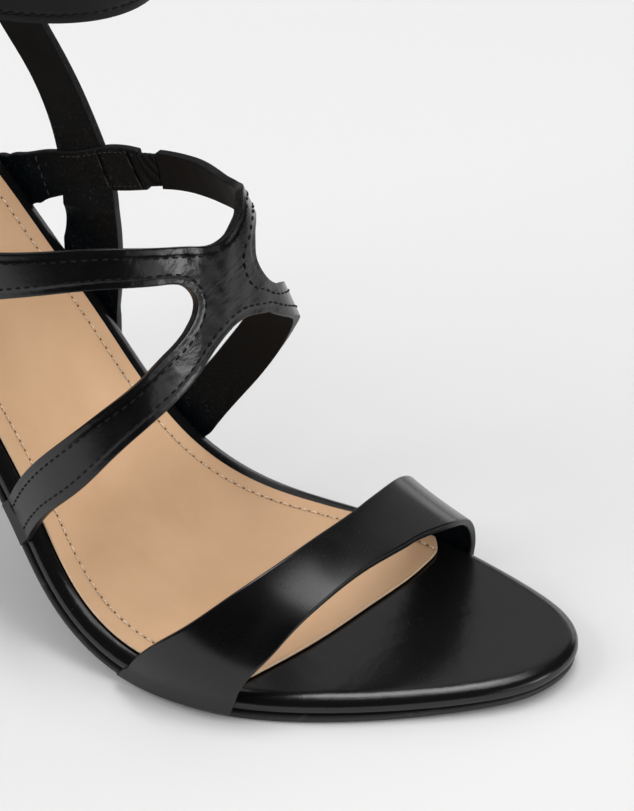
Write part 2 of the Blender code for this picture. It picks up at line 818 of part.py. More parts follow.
def sleeve(name, angle, width, inner, outer, thick, mat):
    """A flat tube that holds the strap: inner and outer are its inside faces."""
    low, high = -SLEEVE_PLAY, ANKLE_HEIGHT + SLEEVE_PLAY
    r = 1.5 * SLEEVE_PLAY
    section = [
        (inner + r, low), (outer - r, low), (outer, low + r), (outer, high - r),
        (outer - r, high), (inner + r, high), (inner, high - r), (inner, low + r),
    ]
    cols = np.linspace(-0.5, 0.5, 5) * angle_step(angle, width) + angle
    grid = np.array([[loop_point(a, o, np.float64(u)) for a in cols] for o, u in section])
    return sheet(name, grid, mat, thick, loops=(True, False))


def quarter_strap(name, side):
    """The upright strap from the sole to the ankle loop, on one side (+1 inner)."""
    rows, cols = 24, 5
    middle = 0.580
    x0, z0, _ = sole(middle)
    y0 = BALL * (0.299 if side > 0 else 0.322) + GAP
    angle = SIDE_ANGLE * side
    top = loop_point(angle, 1.45 * ANKLE_THICK, np.float64(0.31 * ANKLE_HEIGHT))
    x1, y1, z1 = top[0], abs(top[1]), top[2]
    facing = loop_point(angle, 1.0, np.float64(0.0)) - loop_point(angle, 0.0, np.float64(0.0))
    facing[2] = 0.0
    facing /= np.linalg.norm(facing)
    climb = np.linspace(0, 1, rows)
    reach = spline(QUARTER[:, 0], QUARTER[:, 1], climb)
    half = spline(QUARTER[:, 0], QUARTER[:, 2], climb) * QUARTER_WIDTH
    out = spline(QUARTER[:, 0], QUARTER[:, 3], climb) * QUARTER_WIDTH
    line = np.column_stack([
        x0 + (x1 - x0) * reach,
        side * (y0 + (y1 - y0) * climb + out * (1 - climb ** 6)),
        z0 + (z1 - z0) * climb,
    ])
    grid = []
    for k in range(rows):
        a = max(k - 1, 0)
        b = min(k + 1, rows - 1)
        tangent = line[b] - line[a]
        tangent /= np.linalg.norm(tangent)
        turn = smooth((climb[k] - 0.45) / 0.5)
        normal = np.array([0.0, side, 0.0]) * (1 - turn) + facing * turn
        wide = np.cross(normal, tangent)
        wide *= np.sign(wide[0]) / np.linalg.norm(wide)
        grid.append([line[k] + wide * half[k] * w for w in np.linspace(-1, 1, cols)])
    grid = np.array(grid)
    # the lower rows run straight down each column to the foot of the board's side
    start = 4
    share = np.linspace(0.40, 0.75, 701)
    wall_in, wall_out = edges(share)
    wall_x, wall_z, slope = sole(share)
    foot_x = wall_x - np.sin(slope) * WALL
    foot_z = wall_z - np.cos(slope) * WALL
    order = np.argsort(foot_x)
    wall_order = np.argsort(wall_x)
    lower = []
    for j in range(cols):
        x = grid[start, j, 0]
        y_wall = wall_in if side > 0 else -wall_out
        foot = np.array([x, 0, np.interp(x, foot_x[order], foot_z[order])])
        edge = np.array([x, 0, np.interp(x, wall_x[wall_order], wall_z[wall_order])])
        foot[1] = side * (np.interp(x, foot_x[order], y_wall[order]) + GAP)
        edge[1] = side * (np.interp(x, wall_x[wall_order], y_wall[wall_order]) + GAP)
        column = [foot, edge]
        for k in range(1, start):
            t = k / start
            p = edge + (grid[start, j] - edge) * t
            bow = 0.09 * QUARTER_WIDTH * 4 * t * (1 - t)
            p[1] += side * bow
            column.append(p)
        lower.append(column)
    lower = np.array(lower).transpose(1, 0, 2)
    grid = np.concatenate([lower, grid[start:]])
    return sheet(name, grid, BLACK)


def add_quarters():
    slide = ANKLE_THICK + SLEEVE_PLAY
    for name, side in (("medial_quarter", 1), ("lateral_quarter", -1)):
        upright = quarter_strap(name, side)
        apply(upright)
        first = 0.0 if side > 0 else 0.20
        down = down_strap(name + "_down", side < 0, first, 0.0, LEATHER)
        apply(down)
        tube = sleeve(name + "_tube", SIDE_ANGLE * side, 1.08 * QUARTER_WIDTH,
                      -SLEEVE_PLAY, slide, SLEEVE_THICK, BLACK)
        apply(tube)
        join_solids(upright, [down, tube])


add_quarters()


# Elastic gore between the inner instep leg and the side crossing
def add_gore():
    """A short ribbed elastic, butted between the strap's end and the side tab."""
    front_up, front_low = SIDE_REAR[-1], SIDE_INNER[-1]
    back_up, back_low = DOWN_UPPER[0], DOWN_LOWER[0]
    up_gap = (back_up - front_up) / np.hypot(*((back_up - front_up) * [LENGTH, AROUND]))
    low_gap = (back_low - front_low) / np.hypot(*((back_low - front_low) * [LENGTH, AROUND]))
    clear = 1.33 * GAP
    corners = [front_up + up_gap * clear, front_low + low_gap * clear,
               back_up - up_gap * clear, back_low - low_gap * clear]
    grid = []
    for v in np.linspace(0.08, 0.90, 5):
        a = corners[0] * (1 - v) + corners[1] * v
        b = corners[2] * (1 - v) + corners[3] * v
        grid.append([a + (b - a) * t for t in np.linspace(0, 1, 5)])
    grid = np.array(grid)
    points = form(grid[..., 0], grid[..., 1], np.full(grid.shape[:2], 0.22 * LEATHER))
    sheet("elastic_gore", points, ELASTIC, ELASTIC_THICK)


add_gore()


# Ankle strap, buckle, prong and keeper
def stand_off(angle):
    rows = STAND_OFF
    at = np.clip(np.searchsorted(rows[:, 0], angle) - 1, 0, len(rows) - 2)
    t = smooth((angle - rows[at, 0]) / (rows[at + 1, 0] - rows[at, 0]))
    return ANKLE_THICK * (rows[at, 1] + (rows[at + 1, 1] - rows[at, 1]) * t)


def add_ankle_strap():
    ends = (200.0, -184.0)
    angles = np.concatenate([np.linspace(200, -130, 76), np.linspace(-134, -176, 15),
                             [-178.5, -180.6, -182.2, -183.3, -184.0]])
    grid = []
    for angle in angles:
        tip = np.clip((angle - ends[1]) / 8.0, 0, 1)
        half = ANKLE_HEIGHT / 2 * np.sqrt(np.clip(1 - (1 - tip) ** 2, 0.05, 1))
        up = ANKLE_HEIGHT / 2 + half * np.linspace(-1, 1, 5)
        grid.append(loop_point(angle, stand_off(angle), up))
    strap = sheet("ankle_strap", np.array(grid), BLACK, ANKLE_THICK)
    low = loop_point(-153.2, -2 * ANKLE_THICK, np.float64(ANKLE_HEIGHT / 2))
    high = loop_point(-147.0, 4.5 * ANKLE_THICK, np.float64(ANKLE_HEIGHT / 2))
    axis = high - low
    length = np.linalg.norm(axis)
    axis /= length
    side = np.cross(axis, [0.0, 0.0, 1.0])
    side /= np.linalg.norm(side)
    up = np.cross(side, axis)
    corners = []
    for along in (0.0, length):
        for a, b in ((-1, -1), (1, -1), (1, 1), (-1, 1)):
            corners.append(low + axis * along + side * a * 1.27 * WIRE + up * b * 0.73 * WIRE)
    faces = [[0, 1, 2, 3], [7, 6, 5, 4], [0, 4, 5, 1], [1, 5, 6, 2], [2, 6, 7, 3],
             [3, 7, 4, 0]]
    cutter = close_up(add_mesh("prong_hole", corners, faces, None, TOOLS))
    cutter.hide_render = True
    cutter.display_type = "WIRE"
    hole = strap.modifiers.new("prong hole", "BOOLEAN")
    hole.operation = "DIFFERENCE"
    hole.solver = "EXACT"
    hole.object = cutter
    return strap


add_ankle_strap()


def wire(name, points, radius, mat, closed=False, sides=8):
    """A round wire along points, as a closed solid."""
    points = np.asarray(points, float)
    n = len(points)
    rings = []
    up = None
    for k in range(n):
        if closed:
            tangent = points[(k + 1) % n] - points[k - 1]
        else:
            tangent = points[min(k + 1, n - 1)] - points[max(k - 1, 0)]
        tangent = tangent / np.linalg.norm(tangent)
        if up is None:
            up = np.cross(tangent, [0.3, 0.2, 0.93])
        up = up - tangent * np.dot(up, tangent)
        up = up / np.linalg.norm(up)
        other = np.cross(tangent, up)
        size = radius if np.isscalar(radius) else radius[k]
        turn = np.linspace(0, 2 * np.pi, sides, endpoint=False)
        rings.append(points[k] + size * (np.outer(np.cos(turn), up)
                                         + np.outer(np.sin(turn), other)))
    if not closed:
        return loft(name, rings, mat)
    flat = np.concatenate(rings)
    faces = []
    for k in range(n):
        m = (k + 1) % n
        shift = 0
        if m == 0:
            away = np.linalg.norm(rings[0] - rings[-1][0], axis=1)
            shift = int(np.argmin(away))
        for j in range(sides):
            i = (j + 1) % sides
            faces.append([k * sides + j, k * sides + i,
                          m * sides + (i + shift) % sides, m * sides + (j + shift) % sides])
    return close_up(add_mesh(name, flat, faces, mat))


def add_buckle():
    near, far = -156.5, -137.0
    rail = ANKLE_HEIGHT / 2 + WIRE / 2 + BUCKLE_PLAY
    bulge = 0.9 * ANKLE_THICK
    near_out = ANKLE_THICK / 2
    far_out = ANKLE_THICK + WIRE / 2 + 1.67 * GAP
    middle = (near + far) / 2
    reach = (far - near) / 2
    points = []
    count = 40
    for k in range(count):
        a = 2 * np.pi * (k + 0.5) / count
        c, s = np.cos(a), np.sin(a)
        across = np.sign(c) * np.abs(c) ** 0.45
        tall = np.sign(s) * np.abs(s) ** 0.45
        angle = middle + reach * across
        t = (across + 1) / 2
        out = near_out + (far_out - near_out) * t
        out += bulge * 4 * t * (1 - t) * np.clip(np.abs(tall), 0, 1)
        points.append(loop_point(angle, out, np.float64(ANKLE_HEIGHT / 2 + rail * tall)))
    wire("buckle_frame", points, WIRE / 2, METAL, closed=True)
    middle_up = np.float64(ANKLE_HEIGHT / 2)
    # angle in degrees, stand-off as a share of the strap's thickness, radius as one of WIRE
    rows = [
        (-153.2, 0.50, 0.33),
        (-151.5, 0.70, 0.37),
        (-149.8, 1.30, 0.37),
        (-148.2, 2.10, 0.37),
        (-146.0, 2.50, 0.37),
        (-142.0, 2.55, 0.37),
        (-138.0, 2.40, 0.35),
        (-135.6, 2.25, 0.30),
    ]
    wire("buckle_prong", [loop_point(a, o * ANKLE_THICK, middle_up) for a, o, _ in rows],
         [r * WIRE for _, _, r in rows], METAL)


add_buckle()
sleeve("strap_keeper", -167.0, KEEPER_WIDTH, -1.25 * SLEEVE_PLAY,
       (STAND_OFF[0, 1] + 1) * ANKLE_THICK + 1.5 * SLEEVE_PLAY, KEEPER_THICK, BLACK)

# each piece gets a material of its own
for obj in SHOE.objects:
    own = obj.data.materials[0].copy()
    own.name = obj.name + "_finish"
    obj.data.materials.clear()
    obj.data.materials.append(own)
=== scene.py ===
# %% [markdown]
# # A strappy sandal on a slim heel
# One right shoe, unworn, standing on its heel tip and on the flat of its sole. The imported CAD
# model gives every piece its place. Here each leather strap is worked out again as a finer
# surface, given its thickness, rolled edges, stitches and creases, and lit softly.

import bmesh
import bpy
import numpy as np
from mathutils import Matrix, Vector


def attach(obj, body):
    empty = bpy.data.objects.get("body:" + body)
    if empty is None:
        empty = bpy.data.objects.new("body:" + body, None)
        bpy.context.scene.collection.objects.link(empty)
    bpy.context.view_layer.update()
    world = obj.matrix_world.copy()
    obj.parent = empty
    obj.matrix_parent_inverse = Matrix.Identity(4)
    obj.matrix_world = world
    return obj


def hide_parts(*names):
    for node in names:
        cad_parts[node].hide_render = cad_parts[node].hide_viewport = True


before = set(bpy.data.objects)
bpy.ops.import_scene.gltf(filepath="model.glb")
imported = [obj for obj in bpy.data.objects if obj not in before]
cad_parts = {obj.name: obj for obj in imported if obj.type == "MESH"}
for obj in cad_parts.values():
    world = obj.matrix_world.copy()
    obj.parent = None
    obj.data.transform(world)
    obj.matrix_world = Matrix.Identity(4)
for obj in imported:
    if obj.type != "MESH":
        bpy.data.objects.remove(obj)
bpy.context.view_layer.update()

# %% [markdown]
# ## Sizes
# These are the sizes that the shoemaker would write on the pattern, in metres. They match the
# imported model, so that each finer piece lies exactly where its solid lies.

# %% Named sizes
LENGTH = 0.250            # board along its own surface
BALL = 0.075              # board across the ball
RISE = 0.0954             # heel seat above the ball
INSTEP = 0.069            # height over the instep
TOE_X = 0.198             # toe tip in front of the heel tip
OUTSOLE = 0.0018
BOARD = 0.0040
SOCK = 0.0008
SOCK_INSET = 0.0027
SOCK_SHY = 0.0026         # further inside along the inner side
LEATHER = 0.0018
GAP = 0.0003
TOP = OUTSOLE + GAP + BOARD
WALL = 0.975 * BOARD
DEPTH = 25 * BOARD        # one unit of turn, down the board's wall
STITCH_INSET = 0.0020     # stitches this far inside a strap's edge
STITCH_PITCH = 0.0021
SOCK_SEAM_INSET = 0.0040  # the sock's tan stitches inside its edge
SOCK_PITCH = 0.0022
EDGE_ROLL = 0.00045       # how far the cut edge of a strap is rounded

# %% Tables of the sole and of the foot form
SLOPES = np.array([
    [0.000, -0.060], [0.180, 0.000], [0.256, 0.000], [0.448, 1.000],
    [0.660, 1.000], [0.860, 0.375], [1.000, 0.375],
])
OUTLINE = np.array([
    [0.000, 0.150, 0.150], [0.010, 0.260, 0.010], [0.036, 0.340, -0.100],
    [0.080, 0.400, -0.225], [0.150, 0.457, -0.385], [0.225, 0.484, -0.495],
    [0.300, 0.465, -0.513], [0.380, 0.391, -0.471], [0.460, 0.335, -0.397],
    [0.540, 0.340, -0.343], [0.640, 0.346, -0.305], [0.760, 0.350, -0.310],
    [0.880, 0.318, -0.305], [0.960, 0.205, -0.200], [1.000, 0.003, 0.003],
])
ARCHES = np.array([
    [0.050, 0.230, 0.0, -0.025, 0.000, 0.067], [0.120, 0.272, 0.0, -0.038, 0.013, 0.080],
    [0.200, 0.382, -2.0, -0.029, 0.013, 0.100], [0.280, 0.600, 9.0, 0.002, 0.027, 0.127],
    [0.360, 0.840, 18.0, 0.037, 0.040, 0.136], [0.440, 1.000, 23.0, 0.052, 0.067, 0.123],
    [0.520, 1.090, 25.0, 0.046, 0.093, 0.092], [0.620, 1.150, 28.0, 0.039, 0.093, 0.057],
    [0.740, 1.200, 30.0, 0.040, 0.093, 0.033], [0.880, 1.250, 30.0, 0.080, 0.093, 0.025],
    [1.000, 1.250, 30.0, 0.080, 0.093, 0.025],
])
print("rows of the tables:", len(SLOPES), len(OUTLINE), len(ARCHES))

# %% [markdown]
# ## From tables to smooth curves
# A pattern is a few measured points. A natural cubic curve runs through them with the least
# bending, which is also how a flexible rule lies on the bench.


# %% Curves through tables
def spline(xs, ys, x):
    """Natural cubic through (xs, ys): between two rows it is a*y0 + b*y1 plus the cubic part
    ((a^3 - a)*m0 + (b^3 - b)*m1)*h^2/6, where m are the bends that make it smooth."""
    xs, ys = np.asarray(xs, float), np.asarray(ys, float)
    n = len(xs)
    h = np.diff(xs)
    lhs, rhs = np.eye(n), np.zeros(n)
    inside = np.arange(1, n - 1)
    lhs[inside, inside - 1] = h[:-1]
    lhs[inside, inside] = 2 * (h[:-1] + h[1:])
    lhs[inside, inside + 1] = h[1:]
    rhs[1:-1] = 6 * (np.diff(ys)[1:] / h[1:] - np.diff(ys)[:-1] / h[:-1])
    bend = np.linalg.solve(lhs, rhs)
    x = np.asarray(x, float)
    i = np.clip(np.searchsorted(xs, x) - 1, 0, n - 2)
    b = (x - xs[i]) / h[i]
    a = 1 - b
    cubic = (a ** 3 - a) * bend[i] + (b ** 3 - b) * bend[i + 1]
    return a * ys[i] + b * ys[i + 1] + h[i] ** 2 / 6 * cubic


def smooth(t):
    """Ease from 0 to 1: 3t^2 - 2t^3, held at both ends."""
    t = np.clip(t, 0.0, 1.0)
    return t * t * (3 - 2 * t)


def unit(v):
    """Vectors made one long."""
    return v / np.linalg.norm(v, axis=-1, keepdims=True)


# %% The sole line in side view
def build_profile():
    """x and z are the running sums of cos and sin of the slope. The steepest slope is found by
    halving until the seat is RISE above the ball."""
    dist = np.linspace(-0.04, 1.04, 1081) * LENGTH
    share = dist / LENGTH
    row = np.clip(np.searchsorted(SLOPES[:, 0], share) - 1, 0, len(SLOPES) - 2)
    part = smooth((share - SLOPES[row, 0]) / (SLOPES[row + 1, 0] - SLOPES[row, 0]))
    slope = SLOPES[row, 1] + (SLOPES[row + 1, 1] - SLOPES[row, 1]) * part
    low, high = 0.05, 1.3
    for _ in range(40):
        steepest = (low + high) / 2
        angle = slope * steepest
        rise = (np.sin(angle)[1:] + np.sin(angle)[:-1]) / 2 * np.diff(dist)
        z = np.concatenate([[0.0], np.cumsum(rise)])
        z -= np.interp(0.22 * LENGTH, dist, z)
        if np.interp(LENGTH, dist, z) < RISE:
            low = steepest
        else:
            high = steepest
    run = (np.cos(angle)[1:] + np.cos(angle)[:-1]) / 2 * np.diff(dist)
    x = -np.concatenate([[0.0], np.cumsum(run)])
    x -= np.interp(0.0, dist, x)
    return share, x + TOE_X, z + TOP, angle


PROFILE = build_profile()
ROUND = np.arccos(1 - 2 * OUTLINE[:, 0])


def sole(share):
    """x, z and slope of the board's top at a share of the length."""
    return tuple(np.interp(share, PROFILE[0], PROFILE[k]) for k in (1, 2, 3))


def edges(share):
    """Inner and outer edge of the board, from the middle line."""
    angle = np.arccos(np.clip(1 - 2 * np.asarray(share, float), -1, 1))
    return BALL * spline(ROUND, OUTLINE[:, 1], angle), BALL * spline(ROUND, OUTLINE[:, 2], angle)


def on_sole(share, y, up):
    """A point over the board's top, measured square to it."""
    x, z, slope = sole(share)
    return np.stack(np.broadcast_arrays(x + np.sin(slope) * up, y, z + np.cos(slope) * up), -1)


print("steepest slope of the shank:", round(float(np.degrees(PROFILE[3].max())), 1), "degrees")

# %% [markdown]
# ## The foot form
# The straps hug a foot that isn't there. It is a row of arches that lean forward as the sole
# climbs. A place on it is how far along the sole and how far round the arch, 0 at the inner
# edge of the board and 1 at the outer edge. Beyond these it runs down the board's wall.


# %% Places on the form
ARCH_POWER = 1 / 1.2      # 1 would be an ellipse, less is squarer
TOES_END = 0.34           # ahead of this share the inner flank leaves the board upright
TOES_BLEND = 0.10
DRAWN_IN = 0.9            # share of the leather that lies inside the measured arches


def arch(share, turn):
    """Superellipse arch: height times sin^(1/1.2), half width times |cos|^(1/1.2), with a
    swell of the flank 4*up*(1 - up), turned by the lean about the sole. Near the toes the
    inner flank's swell is 6.75*up^2*(1 - up) instead, so that it leaves the board upright."""
    share, turn = np.broadcast_arrays(np.asarray(share, float), np.asarray(turn, float))
    row = ARCHES[:, 0]
    height = INSTEP * spline(row, ARCHES[:, 1], share)
    lean = np.radians(spline(row, ARCHES[:, 2], share))
    swell_in, swell_out, ridge = (BALL * spline(row, ARCHES[:, k], share) for k in (3, 4, 5))
    depth = DEPTH * (np.clip(-turn, 0, None) + np.clip(turn - 1, 0, None))
    x0, z0, slope = sole(share)
    low = share - depth * np.tan(slope - lean) / LENGTH
    inner, outer = edges(low)
    angle = np.clip(turn, 0, 1) * np.pi
    up = np.clip(np.sin(angle), 0, None) ** ARCH_POWER
    side = np.abs(np.cos(angle)) ** ARCH_POWER
    medial = np.cos(angle) >= 0
    rim = np.where(medial, inner + GAP, outer - GAP)
    swell = np.where(medial, swell_in, -swell_out)
    upright = np.where(medial, smooth((TOES_END - share) / TOES_BLEND), 0.0)
    bulge = (4 * up * (1 - upright) + 6.75 * up ** 2 * upright) * (1 - up)
    y = ridge + (rim - ridge) * side + swell * bulge
    x1, z1, slope1 = sole(low)
    below = depth > 0
    x = np.where(below, x1 - np.sin(slope1) * depth, x0 + np.sin(lean) * height * up)
    z = np.where(below, z1 - np.cos(slope1) * depth, z0 + np.cos(lean) * height * up)
    return np.stack([x, y, z], -1)


def form(share, turn, off=0.0, with_normal=False):
    """The inner face of a strap: the arch moved along its normal, which is the cross product
    of the two directions on it. The arches are measured over the leather."""
    e = 0.002
    along = arch(share + e, turn) - arch(share - e, turn)
    across = arch(share, turn + 2 * e) - arch(share, turn - 2 * e)
    normal = unit(np.cross(along, across))
    full = np.sin(np.clip(turn, 0, 1) * np.pi) ** 0.8
    off = np.asarray(off) - DRAWN_IN * LEATHER * full
    point = arch(share, turn) + normal * off[..., None]
    return (point, normal) if with_normal else point


print("ridge of the form at half the sole, in mm:", np.round(form(0.5, 0.5) * 1000, 1).tolist())

# %% [markdown]
# ## Meshes from arrays
# Every surface is a grid of points. The faces are the squares between neighbours, so their
# numbers are one array expression. A sheet of leather then gets its thickness from Solidify
# and its soft rim from Bevel, as a skiver's knife and an edge iron would give it.


# %% Grids, closing and thickness
def grid_faces(rows, cols, start=0, loop_rows=False, loop_cols=False):
    """Corner numbers of the squares of a grid, four for each."""
    index = start + np.arange(rows * cols).reshape(rows, cols)
    if loop_rows:
        index = np.vstack([index, index[:1]])
    if loop_cols:
        index = np.hstack([index, index[:, :1]])
    a, b = index[:-1, :-1], index[1:, :-1]
    c, d = index[1:, 1:], index[:-1, 1:]
    return np.stack([a, b, c, d], -1).reshape(-1, 4)


def place_object(name, data):
    """Puts a mesh, a lamp or a camera into the scene."""
    item = bpy.data.objects.new(name, data)
    bpy.context.scene.collection.objects.link(item)
    return item


def outward(mesh, merge=None):
    """Merges the points that lie closer than merge, turns the faces outward and shades them
    smooth."""
    tidy = bmesh.new()
    tidy.from_mesh(mesh)
    if merge:
        bmesh.ops.remove_doubles(tidy, verts=tidy.verts, dist=merge)
        bmesh.ops.dissolve_degenerate(tidy, edges=tidy.edges, dist=1e-7)
    bmesh.ops.recalc_face_normals(tidy, faces=tidy.faces)
    tidy.to_mesh(mesh)
    tidy.free()
    mesh.shade_smooth()


def new_piece(name, points, faces, materials):
    """A mesh object from arrays, doubles merged and faces turned outward."""
    mesh = bpy.data.meshes.new(name)
    mesh.from_pydata(np.asarray(points, float).reshape(-1, 3).tolist(), [],
                     np.asarray(faces).tolist())
    outward(mesh, merge=2e-6)
    for item in materials:
        mesh.materials.append(item)
    return place_object(name, mesh)


def set_attribute(piece, name, values):
    """A number for each point, which the material reads by name."""
    layer = piece.data.attributes.new(name, "FLOAT", "POINT")
    layer.data.foreach_set("value", np.asarray(values, np.float32))


def vertices(piece):
    """The points of a piece as one array."""
    flat = np.empty(len(piece.data.vertices) * 3)
    piece.data.vertices.foreach_get("co", flat)
    return flat.reshape(-1, 3)


def nearest(points, targets):
    """Distance from each point to the nearest target, a block of points at a time."""
    out = np.empty(len(points))
    for start in range(0, len(points), 2000):
        block = points[start:start + 2000, None, :] - targets[None, :, :]
        out[start:start + 2000] = np.sqrt((block ** 2).sum(-1).min(1))
    return out


def mark_strap(piece, rims, crease, pebble_and_glints):
    """What the leather reads at each point: millimetres to the nearest rim, strength of the
    creases, and how pebbled the lining is, which also scales the painted highlights on it."""
    points = vertices(piece)
    everywhere = np.ones(len(points))
    set_attribute(piece, "edge", nearest(points, rims) * 1000)
    set_attribute(piece, "crease", everywhere * crease)
    set_attribute(piece, "pebble_and_glints", everywhere * pebble_and_glints)
    return piece


def long_edges(grid):
    """The first and the last column of a strap's grid."""
    return np.concatenate([grid[:, 0], grid[:, -1]])


def roll_edge(piece, width, angle=50):
    """Rounds the edges that turn by more than angle degrees, as an edge iron does."""
    edge = piece.modifiers.new("rolled edge", "BEVEL")
    edge.width, edge.segments, edge.limit_method = width, 3, "ANGLE"
    edge.angle_limit = np.radians(angle)
    return piece


def thicken(piece, thick, rim=EDGE_ROLL, ring=False):
    """Leather thickness away from the foot, then a rolled edge. Slot 0 is the outer leather,
    slot 1 the lining and slot 2 the cut edge."""
    points = vertices(piece)
    centre = points.mean(0)
    if not ring:
        centre = np.array([centre[0], 0.0, centre[2] - 0.02])
    normals = np.empty(len(piece.data.polygons) * 3)
    centres = np.empty_like(normals)
    areas = np.empty(len(piece.data.polygons))
    piece.data.polygons.foreach_get("normal", normals)
    piece.data.polygons.foreach_get("center", centres)
    piece.data.polygons.foreach_get("area", areas)
    out = ((centres.reshape(-1, 3) - centre) * normals.reshape(-1, 3)).sum(1)
    if (out * areas).sum() < 0:
        piece.data.flip_normals()
    solid = piece.modifiers.new("thickness", "SOLIDIFY")
    solid.thickness, solid.offset = thick, 1.0
    solid.use_even_offset = True
    solid.use_quality_normals = True
    solid.material_offset, solid.material_offset_rim = 1, 2
    return roll_edge(piece, rim)


def shell(name, inner, outer, faces, materials, merge=1.5e-5):
    """A closed skin from two grids with the same faces. The rim joins the edges that only one
    face uses: each edge is a number pair, and the pairs that occur once are the rim."""
    inner, outer = inner.reshape(-1, 3), outer.reshape(-1, 3)
    _, keep, same = np.unique(np.round(inner / merge).astype(int), axis=0, return_index=True,
                              return_inverse=True)
    inner, outer, faces = inner[keep], outer[keep], same.reshape(-1)[faces]
    n = len(inner)
    pairs = np.concatenate([faces[:, [k, (k + 1) % 4]] for k in range(4)])
    pairs = pairs[pairs[:, 0] != pairs[:, 1]]
    key = np.sort(pairs, 1)
    _, first, count = np.unique(key, axis=0, return_index=True, return_counts=True)
    border = pairs[first[count == 1]]
    rims = np.column_stack([border, border[:, ::-1] + n])
    everything = [list(dict.fromkeys(f)) for f in np.concatenate(
        [faces[:, ::-1], faces + n, rims]).tolist()]
    slots = np.repeat([1, 0, 2], [len(faces), len(faces), len(rims)])
    good = np.array([len(f) > 2 for f in everything])
    mesh = bpy.data.meshes.new(name)
    mesh.from_pydata(np.concatenate([inner, outer]).tolist(), [],
                     [f for f in everything if len(f) > 2])
    for item in materials:
        mesh.materials.append(item)
    mesh.polygons.foreach_set("material_index", slots[good].astype(np.int32))
    outward(mesh)
    return roll_edge(place_object(name, mesh), EDGE_ROLL)


def finish_piece(piece, slot, *nodes):
    """Hangs the piece on the root body, hides the imported parts that it stands for and prints its
    number of faces. The slot is not used.
    """
    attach(piece, "root")
    if nodes:
        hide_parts(*nodes)
    print(piece.name, len(piece.data.polygons), "faces")
    return piece


# %% [markdown]
# ## Shader sums
# A material is arithmetic on patterns. One small class wraps a socket, so that `1 - mask * 0.4`
# adds the Math nodes for it, and one method makes any other node.


# %% A socket that can be added and multiplied
class Wire:
    def __init__(self, shader, socket):
        self.shader = shader
        self.socket = socket

    def math(self, operation, first, second):
        return self.shader.node("ShaderNodeMath", {"operation": operation}, first, second)

    def __add__(self, other):
        return self.math("ADD", self, other)

    def __sub__(self, other):
        return self.math("SUBTRACT", self, other)

    def __mul__(self, other):
        return self.math("MULTIPLY", self, other)

    def __truediv__(self, other):
        return self.math("DIVIDE", self, other)

    def __radd__(self, other):
        return self.math("ADD", other, self)

    def __rsub__(self, other):
        return self.math("SUBTRACT", other, self)

    def __rmul__(self, other):
        return self.math("MULTIPLY", other, self)

    def __rtruediv__(self, other):
        return self.math("DIVIDE", other, self)


class Shader:
    """A material with one Principled shader."""

    def __init__(self, name, **constants):
        self.material = bpy.data.materials.new(name)
        self.material.use_nodes = True
        self.tree = self.material.node_tree
        self.surface = self.tree.nodes["Principled BSDF"]
        for key, value in constants.items():
            self.surface.inputs[key.replace("_", " ")].default_value = value
        self.place = self.node("ShaderNodeTexCoord", {}, out="Object")

    def node(self, kind, settings, *values, out=0, **named):
        """Any node: its settings first, then its sockets by number or by name."""
        made = self.tree.nodes.new(kind)
        for key, value in settings.items():
            setattr(made, key, value)
        sockets = list(enumerate(values)) + [(k.replace("_", " "), v) for k, v in named.items()]
        for key, value in sockets:
            if isinstance(value, Wire):
                self.tree.links.new(value.socket, made.inputs[key])
            else:
                made.inputs[key].default_value = value
        return Wire(self, made.outputs[out])

    def feed(self, **sockets):
        """Links what changes over the surface."""
        for key, value in sockets.items():
            self.tree.links.new(value.socket, self.surface.inputs[key.replace("_", " ")])

    def attribute(self, name):
        return self.node("ShaderNodeAttribute", {"attribute_name": name}, out="Fac")

    def noise(self, scale, detail=3.0, distortion=0.0, place=None):
        return self.node("ShaderNodeTexNoise", {}, out="Fac", Vector=place or self.place,
                         Scale=scale, Detail=detail, Distortion=distortion)

    def cells(self, scale):
        return self.node("ShaderNodeTexVoronoi", {}, out="Distance", Vector=self.place,
                         Scale=scale)

    def between(self, value, low, high, to_low=0.0, to_high=1.0):
        """Eases value from low..high to to_low..to_high."""
        return self.node("ShaderNodeMapRange", {"interpolation_type": "SMOOTHSTEP"}, value,
                         low, high, to_low, to_high)

    def colors(self, factor, first, second):
        """Mix of two colours."""
        made = self.tree.nodes.new("ShaderNodeMix")
        made.data_type = "RGBA"
        self.tree.links.new(factor.socket, made.inputs[0])
        for slot, color in ((6, first), (7, second)):
            if isinstance(color, Wire):
                self.tree.links.new(color.socket, made.inputs[slot])
            else:
                made.inputs[slot].default_value = (*color, 1.0)
        return Wire(self, made.outputs[2])

    def stretched(self, scale, turn=(0, 0, 0)):
        """Object place, turned and stretched."""
        return self.node("ShaderNodeMapping", {}, Vector=self.place, Scale=scale,
                         Rotation=turn)

    def bump(self, height, depth, after=None):
        """A bump whose height of 1 is depth metres; after is an earlier bump."""
        more = {"Normal": after} if after else {}
        return self.node("ShaderNodeBump", {}, Strength=1.0, Distance=depth, Height=height,
                         **more)
